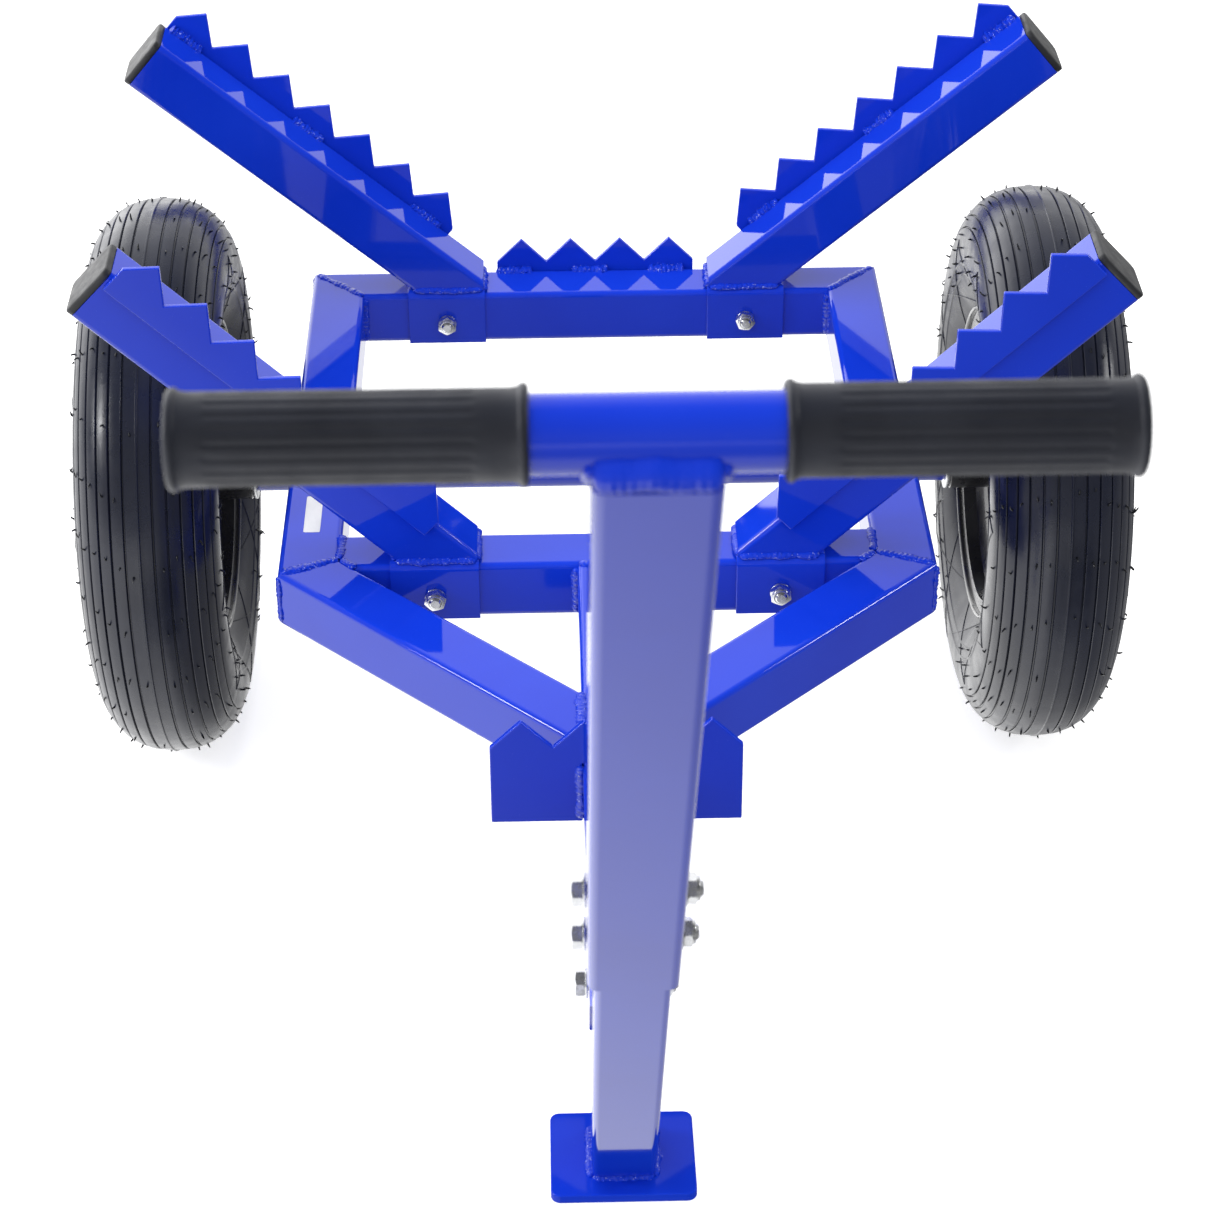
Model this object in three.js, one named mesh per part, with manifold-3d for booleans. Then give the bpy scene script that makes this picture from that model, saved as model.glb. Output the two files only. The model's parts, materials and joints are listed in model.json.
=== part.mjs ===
// A two-wheel log dolly: a square-tube frame on a fixed axle, four toothed arms that form two V cradles,
// and a raked front leg that carries a T-bar handle and a foot plate.
// Units are millimetres. +Z is up, +X is the right side and +Y is the rear. The origin is on the ground,
// under the middle of the foot plate. Y is first measured from the axle, and the whole dolly is then moved.
// The frame is built in a group whose origin is the middle of the axle, and the leg and handle in a group
// whose Z axis runs up the leg from the ground.

import * as THREE from 'three';
import { mergeVertices } from 'three/addons/utils/BufferGeometryUtils.js';
import Module from 'manifold-3d';

const wasm = await Module();
wasm.setup();

// ---- Driving dimensions ----

const GAP = 0.3; // left between two pieces that rest on each other or are welded
const TURN = Math.PI / 180;

const TUBE = 40; // frame and arm tube, square
const TUBE_WALL = 2.5;
const TUBE_RADIUS = 4;
const TUBE_BORE = TUBE - 2 * TUBE_WALL;

const FRAME_WIDTH = 430;
const FRAME_LENGTH = 422;
const NOSE_DOWN = 4.4 * TURN; // the frame slopes down to the front when the foot plate is on the ground

const WHEEL_RADIUS = 197;
const TYRE_WIDTH = 96;
const WHEEL_PLANE = 307; // from the dolly's middle plane to the tyre's middle plane

const AXLE_RADIUS = 12.5;
const JOURNAL_RADIUS = 10;
const AXLE_THREAD_RADIUS = 8;
const SHOULDER_X = 246;
const JOURNAL_END_X = 350.5;
const AXLE_END_X = 369;
const ROUND = 32; // sides of a running surface
const SMALL_ROUND = 12; // sides of bolts and their holes

const TOOTH_PITCH = 37.5;
const TOOTH_HEIGHT = TOOTH_PITCH / 2; // the teeth are right-angled
const STRIP_HEIGHT = 35; // to the tips of the teeth
const STRIP_OVERLAP = 9.75; // how far a strip laps down over its tube's face
const STRIP_SHIFT = 2.7; // an arm's strip lies this much nearer to the foot than its teeth
const FRONT_PLATE_HEIGHT = 73;
const FRONT_PLATE_DROP = 2; // below the braces
const PLATE_THICKNESS = 4;
const CENTRE_TEETH = 4;
const ARM_TEETH = 7;

const REAR_ARMS = { angle: 40.4 * TURN, teethStart: -1, length: 260.5 };
const FRONT_ARMS = { angle: 43.5 * TURN, teethStart: 3, length: 264.5 };
const ARM_FOOT_X = 139; // the foot's outer edge
const CAP_PLUG = 14; // how far an end cap's plug reaches into the arm
const ARM_TOE = 54; // how far the arm's foot reaches inwards from its outer edge

const SADDLE_OUT = 142;
const SADDLE_WIDTH = 58;
const SADDLE_WALL = 3;
const SADDLE_DROP = 39.2; // below the top of the crossbar
const SADDLE_BOLT_X = 113;
const SADDLE_BOLT_DROP = 22;

const LEG_ANGLE = 54 * TURN; // above the ground
const LEG_TUBE = 38;
const LEG_WALL = 3;
const LEG_RADIUS = 4;
const LEG_FOOT_Y = -531; // where the leg's middle line meets the ground
const LEG_TOP = 512; // along the leg from the ground, as are the three below
const POST_START = 382.5;
const POST_BOLTS = [403, 464];
const T_BAR_STATION = 906;
const POST_TUBE = 44.8;
const POST_WALL = 3;
const POST_RADIUS = 5;

const FOOT_WIDTH = 86;
const FOOT_DEPTH = 78;
const FOOT_THICKNESS = 6;
const FOOT_RADIUS = 6;

const T_BAR_LENGTH = 325; // over the grips
const T_BAR_RADIUS = 14;
const T_BAR_WALL = 2.5;
const GRIP_LENGTH = 120;
const GRIP_RADIUS = 16;
const GRIP_FLANGE_RADIUS = 17.5;
const GRIP_FLANGE = 4;
const GRIP_END = 3.5;

const STUB_TUBE = 34; // welded to the leg, enters the tongue
const STUB_WALL = 3;
const STUB_LENGTH = 76;
const TONGUE_BOLT_SETBACK = 41.5; // from the tongue's upper front edge

const FRONT_PLATE_Y = -433; // the front face, from the axle

const BOLT_RADIUS = 4; // M8
const BOLT_HOLE_RADIUS = 4.4;
const HEX_FLATS = 13;
const HEX_HEIGHT = 5.5;
const NUT_HEIGHT = 7.5;
const NUT_COLLAR_HEIGHT = 1.5;
const NUT_COLLAR_RADIUS = 5.9;
const FLANGE_RADIUS = 8.3;
const FLANGE_HEIGHT = 1.5;
const BOLT_TIP = 1.6; // past the nut

const RIM_HALF = 32; // half the width between the rim's flanges
const BEAD_RADIUS = 102;
const FLANGE_TOP = 113;
const RIM_WALL = 2.5;
const WELL_RADIUS = 84;
const WEB_HALF = 2.5;
const HUB_INNER_X = 250;
const HUB_OUTER_X = 350;
const HUB_RADIUS = 18;
const BEARING_RADIUS = 16;
const BEARING_WIDTH = 7;
const BEARING_BORE = JOURNAL_RADIUS + 0.08; // its flats clear the journal's corners by 0.03
const TYRE_WALL = 5;
const TYRE_CROWN_RISE = 46; // from the tyre's widest ring to its crown
const TYRE_BEAD_ANGLE = -62 * TURN; // round the cross-section, from its widest point
const TYRE_SHAPE = 0.86; // below 1 makes the tread flatter than an ellipse
const WASHER_THICKNESS = 3.1;
const AXLE_NUT_FLATS = 24;
const AXLE_NUT_HEIGHT = 13;

const FRAME_BOTTOM = AXLE_RADIUS + GAP; // above the axle's middle line
const FRAME_TOP = FRAME_BOTTOM + TUBE;
const FRAME_MID = FRAME_BOTTOM + TUBE / 2;
const HALF_WIDTH = FRAME_WIDTH / 2;
const HALF_LENGTH = FRAME_LENGTH / 2;
const RAIL_X = HALF_WIDTH - TUBE / 2;
const RAIL_INNER = HALF_WIDTH - TUBE;
const CROSSBAR_Y = HALF_LENGTH - TUBE / 2;
const REACH = 600; // longer than any cut

// ---- Materials ----

const COLOURS = {
  paint: { color: 0x0a2bc0, roughness: 0.25, metalness: 0.1 },
  zinc: { color: 0xc8ccd0, roughness: 0.3, metalness: 1 },
  tyre: { color: 0x1c1e22, roughness: 0.85, metalness: 0 },
  black_paint: { color: 0x0c0c0e, roughness: 0.3, metalness: 0.2 },
  black_plastic: { color: 0x151517, roughness: 0.5, metalness: 0 },
  grip_rubber: { color: 0x17181a, roughness: 0.8, metalness: 0 },
  bearing_steel: { color: 0xb8bcc0, roughness: 0.3, metalness: 1 },
};

function finish(name) {
  return new THREE.MeshStandardMaterial(COLOURS[name]);
}

// ---- Solids: shapes cut and joined ----

function toSolid(geometry) {
  const bare = geometry.clone();
  bare.deleteAttribute('normal');
  bare.deleteAttribute('uv');
  const welded = mergeVertices(bare, 1e-4);
  return new wasm.Manifold(new wasm.Mesh({
    numProp: 3,
    vertProperties: new Float32Array(welded.attributes.position.array),
    triVerts: new Uint32Array(welded.index.array),
  }));
}

function toGeometry(solid) {
  const mesh = solid.getMesh();
  const geometry = new THREE.BufferGeometry();
  geometry.setAttribute('position', new THREE.BufferAttribute(new Float32Array(mesh.vertProperties), 3));
  geometry.setIndex(new THREE.BufferAttribute(new Uint32Array(mesh.triVerts), 1));
  geometry.computeVertexNormals();
  return geometry;
}

function cut(geometry, ...tools) {
  let solid = toSolid(geometry);
  for (const tool of tools) {
    solid = solid.subtract(toSolid(tool));
  }
  return toGeometry(solid);
}

function join(geometry, ...others) {
  let solid = toSolid(geometry);
  for (const other of others) {
    solid = solid.add(toSolid(other));
  }
  return toGeometry(solid);
}

function piece(name, geometry, material) {
  const mesh = new THREE.Mesh(geometry, finish(material));
  mesh.name = name;
  return mesh;
}

function roundedSquare(width, height, radius) {
  const x = width / 2;
  const y = height / 2;
  const outline = new THREE.Shape();
  outline.moveTo(radius - x, -y);
  outline.lineTo(x - radius, -y);
  outline.absarc(x - radius, radius - y, radius, -Math.PI / 2, 0);
  outline.absarc(x - radius, y - radius, radius, 0, Math.PI / 2);
  outline.absarc(radius - x, y - radius, radius, Math.PI / 2, Math.PI);
  outline.absarc(radius - x, radius - y, radius, Math.PI, Math.PI * 1.5);
  return outline;
}

function squareOutline(size) {
  const half = size / 2;
  const corners = [[-half, -half], [half, -half], [half, half], [-half, half]];
  return new THREE.Path(corners.map(([x, y]) => new THREE.Vector2(x, y)));
}

function extrude(shape, depth, curveSegments = 4) {
  return new THREE.ExtrudeGeometry(shape, { depth, bevelEnabled: false, curveSegments });
}

// A square tube along Z from z = start, open at both ends. The bore's corners are left sharp.
function squareTube(size, wall, radius, start, length) {
  const shape = roundedSquare(size, size, radius);
  shape.holes.push(squareOutline(size - 2 * wall));
  return extrude(shape, length).translate(0, 0, start);
}

function tubeAlongX(start, length) {
  return squareTube(TUBE, TUBE_WALL, TUBE_RADIUS, start, length).rotateY(Math.PI / 2);
}

function tubeAlongY(start, length) {
  return squareTube(TUBE, TUBE_WALL, TUBE_RADIUS, -start - length, length).rotateX(Math.PI / 2);
}

// A box given by its lowest and highest corners.
function block(x0, x1, y0, y1, z0, z1) {
  const box = new THREE.BoxGeometry(x1 - x0, y1 - y0, z1 - z0);
  return box.translate((x0 + x1) / 2, (y0 + y1) / 2, (z0 + z1) / 2);
}

// A cylinder along X between two stations. Its corners lie on the given radius.
function rodX(radius, x0, x1, sides) {
  const rod = new THREE.CylinderGeometry(radius, radius, x1 - x0, sides);
  return rod.rotateZ(-Math.PI / 2).translate((x0 + x1) / 2, 0, 0);
}

// A ring about X, from a closed outline of [radius, station along X] points.
function turnedX(outline, sides) {
  const points = outline.map(([radius, station]) => new THREE.Vector2(radius, station));
  return new THREE.LatheGeometry(points, sides).rotateZ(-Math.PI / 2);
}

// ---- Toothed plates ----

// A strip with right-angled teeth from x = 0, standing on z = 0. Its thickness runs from y = 0 to -Y.
// A shift moves the strip's two ends towards -X. The first flank then runs on down, and the last is short.
function toothStrip(teeth, height, shift = 0) {
  const valley = height - TOOTH_HEIGHT;
  const end = teeth * TOOTH_PITCH - shift;
  const shape = new THREE.Shape();
  shape.moveTo(-shift, 0);
  shape.lineTo(end, 0);
  shape.lineTo(end, valley + shift);
  for (let tooth = teeth - 1; tooth > 0; tooth -= 1) {
    shape.lineTo((tooth + 0.5) * TOOTH_PITCH, height);
    shape.lineTo(tooth * TOOTH_PITCH, valley);
  }
  shape.lineTo(TOOTH_PITCH / 2, height);
  shape.lineTo(-shift, valley - shift);
  return extrude(shape, PLATE_THICKNESS).rotateX(Math.PI / 2);
}

// ---- Fasteners ----

function hexAlongX(x0, x1) {
  return rodX(HEX_FLATS / Math.sqrt(3), x0, x1, 6);
}

// A bolt along X. The grip starts at x = 0 under the flange, and the shank ends at x = length.
function boltGeometry(length) {
  const flange = rodX(FLANGE_RADIUS, -FLANGE_HEIGHT, 0, SMALL_ROUND);
  const head = hexAlongX(-FLANGE_HEIGHT - HEX_HEIGHT, -FLANGE_HEIGHT / 2);
  const shank = rodX(BOLT_RADIUS, -FLANGE_HEIGHT / 2, length, SMALL_ROUND);
  return join(flange, head, shank);
}

// A lock nut along X with a rounded collar. Its seat is at x = 0.
function nutGeometry() {
  const collar = turnedX([
    [0, 0], [FLANGE_RADIUS, 0], [FLANGE_RADIUS, FLANGE_HEIGHT], [NUT_COLLAR_RADIUS, FLANGE_HEIGHT],
    [NUT_COLLAR_RADIUS, NUT_HEIGHT - 0.7], [NUT_COLLAR_RADIUS - 0.7, NUT_HEIGHT], [0, NUT_HEIGHT],
  ], SMALL_ROUND);
  const hex = hexAlongX(FLANGE_HEIGHT / 2, NUT_HEIGHT - NUT_COLLAR_HEIGHT);
  const bore = rodX(BOLT_HOLE_RADIUS - 0.15, -1, NUT_HEIGHT + 1, SMALL_ROUND);
  return cut(join(collar, hex), bore);
}

// A hole for an M8 bolt along X, through everything.
function boltHoleX() {
  return rodX(BOLT_HOLE_RADIUS, -REACH / 2, REACH / 2, SMALL_ROUND);
}

// Bolt and nut that clamp a width, centred on x = 0, head at the -X side.
function boltAndNut(boltName, nutName, clamped) {
  const group = new THREE.Group();
  const half = clamped / 2 + GAP;
  const bolt = piece(boltName, boltGeometry(2 * half + NUT_HEIGHT + BOLT_TIP), 'zinc');
  bolt.position.x = -half;
  const nut = piece(nutName, nutGeometry(), 'zinc');
  nut.position.x = half;
  group.add(bolt, nut);
  return group;
}

// ---- Groups and how they lie ----

const FOOT_PLATE_Y = LEG_FOOT_Y - FOOT_THICKNESS / Math.tan(LEG_ANGLE);

const dolly = new THREE.Group();
dolly.position.y = -FOOT_PLATE_Y;

const chassis = new THREE.Group();
chassis.position.z = WHEEL_RADIUS;
chassis.rotation.x = NOSE_DOWN;
chassis.updateMatrix();
dolly.add(chassis);

const member = new THREE.Group();
member.position.y = LEG_FOOT_Y;
member.rotation.x = Math.PI / 2 - LEG_ANGLE;
member.updateMatrix();
dolly.add(member);

const chassisToMember = member.matrix.clone().invert().multiply(chassis.matrix);
const memberToChassis = chassisToMember.clone().invert();

// ---- Frame ----

// A block behind the plane y = 0, turned about Z, used to mitre the end of a tube.
function mitreBlock(angle, x, y) {
  return block(-REACH, REACH, 0, REACH, -REACH, REACH).rotateZ(angle).translate(x, y, 0);
}

// The front mitre halves the 45 degree bend between a rail and its brace.
const MITRE = Math.PI / 8;
const CORNER_Y = -HALF_LENGTH + 1.8; // where a rail's middle line meets its brace's

// side is -1 for the left rail and 1 for the right one.
function railGeometry(side) {
  const tube = tubeAlongY(-HALF_LENGTH - TUBE, FRAME_LENGTH + 2 * TUBE);
  tube.translate(side * RAIL_X, 0, FRAME_MID);
  const rear = mitreBlock(side * Math.PI / 4, side * RAIL_X, CROSSBAR_Y - GAP / 2);
  const front = mitreBlock(Math.PI - side * MITRE, side * RAIL_X, CORNER_Y + GAP / 2);
  return cut(tube, rear, front);
}

function crossbarHoles(y) {
  return [-1, 1].map((side) => boltHoleX().rotateZ(Math.PI / 2)
    .translate(side * SADDLE_BOLT_X, y, FRAME_TOP - SADDLE_BOLT_DROP));
}

function rearCrossbarGeometry() {
  const tube = tubeAlongX(-HALF_WIDTH, FRAME_WIDTH).translate(0, CROSSBAR_Y, FRAME_MID);
  const ends = [-1, 1].map((side) => mitreBlock(
    Math.PI + side * Math.PI / 4, side * RAIL_X, CROSSBAR_Y + GAP / 2,
  ));
  return cut(tube, ...ends, ...crossbarHoles(CROSSBAR_Y));
}

// The half space outside a plane that runs along a brace, offset towards the rear from its middle line.
function braceOuterPlane(side, offset) {
  const plane = block(0, REACH, -REACH, REACH, -REACH, REACH);
  plane.rotateZ(-Math.PI / 4).translate(RAIL_X, CORNER_Y, 0);
  plane.translate(-offset / Math.SQRT2, offset / Math.SQRT2, 0);
  return side > 0 ? plane : plane.rotateY(Math.PI);
}

function frontCrossbarGeometry() {
  const half = RAIL_INNER - GAP;
  const tube = tubeAlongX(-half, 2 * half).translate(0, -CROSSBAR_Y, FRAME_MID);
  const corners = [-1, 1].map((side) => braceOuterPlane(side, TUBE / 2 + GAP));
  return cut(tube, ...corners, ...crossbarHoles(-CROSSBAR_Y));
}

// The braces run at 45 degrees. Each is built along its own middle line from the front corner of a rail.
function braceGeometry(side) {
  const length = RAIL_X * Math.SQRT2 + TUBE;
  const tube = tubeAlongY(-length, length + TUBE).rotateZ(-side * Math.PI / 4);
  tube.translate(side * RAIL_X, CORNER_Y, FRAME_MID);
  const rear = mitreBlock(-side * MITRE, side * RAIL_X, CORNER_Y - GAP / 2);
  const tongueSide = side * (TUBE / 2 + GAP);
  const inner = side > 0
    ? block(-REACH, tongueSide, -REACH, REACH, -REACH, REACH)
    : block(tongueSide, REACH, -REACH, REACH, -REACH, REACH);
  return cut(tube, rear, inner);
}

// The tongue ends parallel to the leg's rear face.
const LEG_REAR = LEG_TUBE / 2 + GAP;

function tongueGeometry() {
  const start = -HALF_LENGTH - GAP;
  const length = start - tongueTipY() + TUBE;
  const tube = tubeAlongY(start - length, length).translate(0, 0, FRAME_MID);
  const legSide = block(-REACH, REACH, -REACH, LEG_REAR, -REACH, REACH).applyMatrix4(memberToChassis);
  const hole = boltHoleX().translate(0, tongueBoltY, FRAME_MID);
  return cut(tube, legSide, hole);
}

// Where the tongue's upper edge meets the leg, in the chassis group.
function tongueTipY() {
  const onLeg = new THREE.Vector3(0, LEG_REAR, 0).applyMatrix4(memberToChassis);
  const along = new THREE.Vector3(0, 0, 1).transformDirection(memberToChassis);
  return onLeg.y + ((FRAME_TOP - onLeg.z) / along.z) * along.y;
}

const tongueBoltY = tongueTipY() + TONGUE_BOLT_SETBACK;

function frontPlateGeometry() {
  const width = CENTRE_TEETH * TOOTH_PITCH;
  const plate = toothStrip(CENTRE_TEETH, FRONT_PLATE_HEIGHT);
  plate.translate(-width / 2, FRONT_PLATE_Y + PLATE_THICKNESS, FRAME_BOTTOM - FRONT_PLATE_DROP);
  const side = TUBE / 2 + GAP;
  const notch = block(-side, side, -REACH, REACH, -REACH, FRAME_TOP + GAP);
  return cut(plate, notch);
}

function rearPlateGeometry() {
  const strip = toothStrip(CENTRE_TEETH, STRIP_HEIGHT);
  const face = HALF_LENGTH + GAP + PLATE_THICKNESS;
  return strip.translate(-CENTRE_TEETH * TOOTH_PITCH / 2, face, FRAME_TOP - STRIP_OVERLAP);
}

function axleGeometry() {
  const steps = [
    [0, -AXLE_END_X], [AXLE_THREAD_RADIUS - 1, -AXLE_END_X], [AXLE_THREAD_RADIUS, 1 - AXLE_END_X],
    [AXLE_THREAD_RADIUS, -JOURNAL_END_X], [JOURNAL_RADIUS, -JOURNAL_END_X], [JOURNAL_RADIUS, -SHOULDER_X],
    [AXLE_RADIUS, -SHOULDER_X],
  ];
  const mirrored = steps.map(([radius, x]) => [radius, -x]).reverse();
  return turnedX([...steps, ...mirrored], ROUND);
}

chassis.add(
  piece('left_rail', railGeometry(-1), 'paint'),
  piece('right_rail', railGeometry(1), 'paint'),
  piece('rear_crossbar', rearCrossbarGeometry(), 'paint'),
  piece('front_crossbar', frontCrossbarGeometry(), 'paint'),
  piece('left_brace', braceGeometry(-1), 'paint'),
  piece('right_brace', braceGeometry(1), 'paint'),
  piece('tongue', tongueGeometry(), 'paint'),
  piece('rear_tooth_plate', rearPlateGeometry(), 'paint'),
  piece('front_tooth_plate', frontPlateGeometry(), 'paint'),
  piece('axle', axleGeometry(), 'paint'),
);

// ---- Arms ----

// A U bracket over a crossbar, along X from x = 0 inwards, with its inside top at z = 0.
function saddleGeometry() {
  const inside = TUBE / 2 + GAP;
  const outside = inside + SADDLE_WALL;
  const innerBend = TUBE_RADIUS - 1;
  const bend = innerBend + SADDLE_WALL;
  const shape = new THREE.Shape();
  shape.moveTo(-outside, -SADDLE_DROP);
  shape.lineTo(-inside, -SADDLE_DROP);
  shape.lineTo(-inside, GAP - innerBend);
  shape.absarc(innerBend - inside, GAP - innerBend, innerBend, Math.PI, Math.PI / 2, true);
  shape.absarc(inside - innerBend, GAP - innerBend, innerBend, Math.PI / 2, 0, true);
  shape.lineTo(inside, -SADDLE_DROP);
  shape.lineTo(outside, -SADDLE_DROP);
  shape.lineTo(outside, GAP + SADDLE_WALL - bend);
  shape.absarc(outside - bend, GAP + SADDLE_WALL - bend, bend, 0, Math.PI / 2);
  shape.absarc(bend - outside, GAP + SADDLE_WALL - bend, bend, Math.PI / 2, Math.PI);
  shape.lineTo(-outside, -SADDLE_DROP);
  const channel = extrude(shape, SADDLE_WIDTH).rotateZ(Math.PI / 2).rotateY(Math.PI / 2);
  const hole = boltHoleX().rotateZ(Math.PI / 2).translate(SADDLE_OUT - SADDLE_BOLT_X, 0, -SADDLE_BOLT_DROP);
  return cut(channel, hole);
}

// The arm along X from its lower outer foot. It is cut level to stand on the saddle, and upright at the toe.
function armGeometry(arms) {
  const tube = tubeAlongX(-2 * TUBE, arms.length + 2 * TUBE).translate(0, 0, TUBE / 2);
  const below = block(-REACH, REACH, -REACH, REACH, -REACH, 0).rotateY(arms.angle);
  const behind = block(-REACH, -ARM_TOE, -REACH, REACH, -REACH, REACH).rotateY(arms.angle);
  return cut(tube, below, behind);
}

// A plug with a rounded head that closes the arm's outer end.
function endCapGeometry(arms) {
  const edge = 1.4;
  const flat = TUBE - 2 * edge;
  const head = new THREE.ExtrudeGeometry(roundedSquare(flat, flat, TUBE_RADIUS - edge), {
    depth: 1.8, bevelThickness: edge, bevelSize: edge, bevelSegments: 1, curveSegments: 3,
  });
  head.translate(0, 0, edge + GAP);
  const plugSize = TUBE_BORE - 1;
  const plug = block(-plugSize / 2, plugSize / 2, -plugSize / 2, plugSize / 2, -CAP_PLUG, edge + 1);
  return join(head, plug).rotateY(Math.PI / 2).translate(arms.length, 0, TUBE / 2);
}

function addArm(name, side, end) {
  const arms = end > 0 ? REAR_ARMS : FRONT_ARMS;
  const crossbarY = end * CROSSBAR_Y;
  const saddleTop = FRAME_TOP + GAP + SADDLE_WALL;

  const saddle = piece(`${name}_saddle`, saddleGeometry(), 'paint');
  saddle.position.set(side > 0 ? SADDLE_OUT - SADDLE_WIDTH : -SADDLE_OUT, crossbarY, FRAME_TOP);
  chassis.add(saddle);

  const slope = new THREE.Group();
  slope.position.set(side * ARM_FOOT_X, crossbarY, saddleTop + GAP);
  slope.rotation.y = -side * arms.angle;
  const facing = new THREE.Group();
  facing.rotation.z = side > 0 ? 0 : Math.PI;
  slope.add(facing);
  chassis.add(slope);

  const strip = toothStrip(ARM_TEETH, STRIP_HEIGHT, STRIP_SHIFT);
  const plate = piece(`${name}_tooth_plate`, strip, 'paint');
  const stripFace = side * end > 0 ? TUBE / 2 + GAP + PLATE_THICKNESS : -TUBE / 2 - GAP;
  plate.position.set(arms.teethStart, stripFace, TUBE - STRIP_OVERLAP);
  facing.add(
    piece(`${name}_arm`, armGeometry(arms), 'paint'),
    plate,
    piece(`${name}_end_cap`, endCapGeometry(arms), 'black_plastic'),
  );

  const clamped = TUBE + 2 * (GAP + SADDLE_WALL);
  const fastener = boltAndNut(`${name}_saddle_bolt`, `${name}_saddle_nut`, clamped);
  fastener.rotation.z = -Math.PI / 2;
  fastener.position.set(side * SADDLE_BOLT_X, crossbarY, FRAME_TOP - SADDLE_BOLT_DROP);
  chassis.add(fastener);
}

addArm('rear_left', -1, 1);
addArm('rear_right', 1, 1);
addArm('front_left', -1, -1);
addArm('front_right', 1, -1);

const tongueFastener = boltAndNut('tongue_bolt', 'tongue_nut', TUBE);
tongueFastener.position.set(0, tongueBoltY, FRAME_MID);
chassis.add(tongueFastener);

// ---- Leg, post and handle, along the leg's own Z axis ----

// A block between two level planes, given by their heights above the ground, in the leg's axes.
function levelBlock(low, high) {
  const toMember = member.matrix.clone().invert();
  return block(-REACH, REACH, -2 * REACH, REACH, low, high).applyMatrix4(toMember);
}

function postHoles() {
  return POST_BOLTS.map((station) => boltHoleX().translate(0, 0, station));
}

// The stub tube that enters the tongue, with the hole for the tongue bolt.
function stubGeometry() {
  const front = tongueTipY() - TUBE;
  const length = STUB_LENGTH + TUBE;
  const tube = squareTube(STUB_TUBE, STUB_WALL, LEG_RADIUS, -front - length, length).rotateX(Math.PI / 2);
  tube.translate(0, 0, FRAME_MID).applyMatrix4(chassisToMember);
  const insideLeg = block(-REACH, REACH, -REACH, LEG_TUBE / 2 - LEG_WALL / 2, -REACH, REACH);
  return cut(tube, insideLeg);
}

function legGeometry() {
  const tube = squareTube(LEG_TUBE, LEG_WALL, LEG_RADIUS, -TUBE, LEG_TOP + TUBE);
  const tongueHole = boltHoleX().translate(0, tongueBoltY, FRAME_MID).applyMatrix4(chassisToMember);
  const ground = levelBlock(-REACH, FOOT_THICKNESS + GAP);
  return cut(join(tube, stubGeometry()), ground, tongueHole, ...postHoles());
}

// The post's top end is cut level, and the T-bar lies on it.
function postGeometry() {
  const tube = squareTube(POST_TUBE, POST_WALL, POST_RADIUS, POST_START, T_BAR_STATION - POST_START);
  const level = T_BAR_STATION * Math.sin(LEG_ANGLE) - T_BAR_RADIUS - GAP;
  return cut(tube, levelBlock(level, level + REACH), ...postHoles());
}

function tBarGeometry() {
  const half = T_BAR_LENGTH / 2 - GRIP_END - GAP;
  const inner = T_BAR_RADIUS - T_BAR_WALL;
  return turnedX([
    [inner, -half], [T_BAR_RADIUS, -half], [T_BAR_RADIUS, half], [inner, half], [inner, -half],
  ], ROUND);
}

// A sleeve along X, flanged at x = 0 and closed at its outer end.
function gripGeometry() {
  const bore = T_BAR_RADIUS + 0.15;
  return turnedX([
    [bore, 0], [GRIP_FLANGE_RADIUS, 0], [GRIP_FLANGE_RADIUS, GRIP_FLANGE - 1], [GRIP_RADIUS, GRIP_FLANGE],
    [GRIP_RADIUS, GRIP_LENGTH - 1], [GRIP_RADIUS - 1, GRIP_LENGTH], [0, GRIP_LENGTH],
    [0, GRIP_LENGTH - GRIP_END], [bore, GRIP_LENGTH - GRIP_END], [bore, 0],
  ], 24);
}

function addGrip(name, side) {
  const grip = piece(name, gripGeometry(), 'grip_rubber');
  grip.rotation.z = side > 0 ? 0 : Math.PI;
  grip.position.set(side * (T_BAR_LENGTH / 2 - GRIP_LENGTH), 0, T_BAR_STATION);
  member.add(grip);
}

const tBar = piece('t_bar', tBarGeometry(), 'paint');
tBar.position.z = T_BAR_STATION;
member.add(
  piece('support_leg', legGeometry(), 'paint'),
  piece('handle_post', postGeometry(), 'paint'),
  tBar,
);
addGrip('left_grip', -1);
addGrip('right_grip', 1);

['lower', 'upper'].forEach((name, index) => {
  const fastener = boltAndNut(`${name}_post_bolt`, `${name}_post_nut`, POST_TUBE);
  fastener.position.z = POST_BOLTS[index];
  member.add(fastener);
});

const footPlate = extrude(roundedSquare(FOOT_WIDTH, FOOT_DEPTH, FOOT_RADIUS), FOOT_THICKNESS);
const foot = piece('foot_plate', footPlate, 'paint');
foot.position.y = FOOT_PLATE_Y;
dolly.add(foot);

// ---- Wheels, along X, each about its own middle plane ----

// One half of the tyre's cross-section, as [radius, station] from the bead round to the crown.
function tyreCurve(inset, steps) {
  const bead = RIM_HALF - 1.5;
  const points = [];
  const crown = WHEEL_RADIUS - inset;
  const low = BEAD_RADIUS + 8;
  const centre = WHEEL_RADIUS - TYRE_CROWN_RISE;
  for (let step = 0; step <= steps; step += 1) {
    const angle = TYRE_BEAD_ANGLE + ((Math.PI / 2 - TYRE_BEAD_ANGLE) * step) / steps;
    const half = TYRE_WIDTH / 2 - inset;
    const radius = centre + (crown - centre) * Math.sin(angle);
    points.push([Math.max(radius, low), half * Math.max(Math.cos(angle), 0) ** TYRE_SHAPE]);
  }
  points[0] = [low, bead - inset / 2];
  return points;
}

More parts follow.
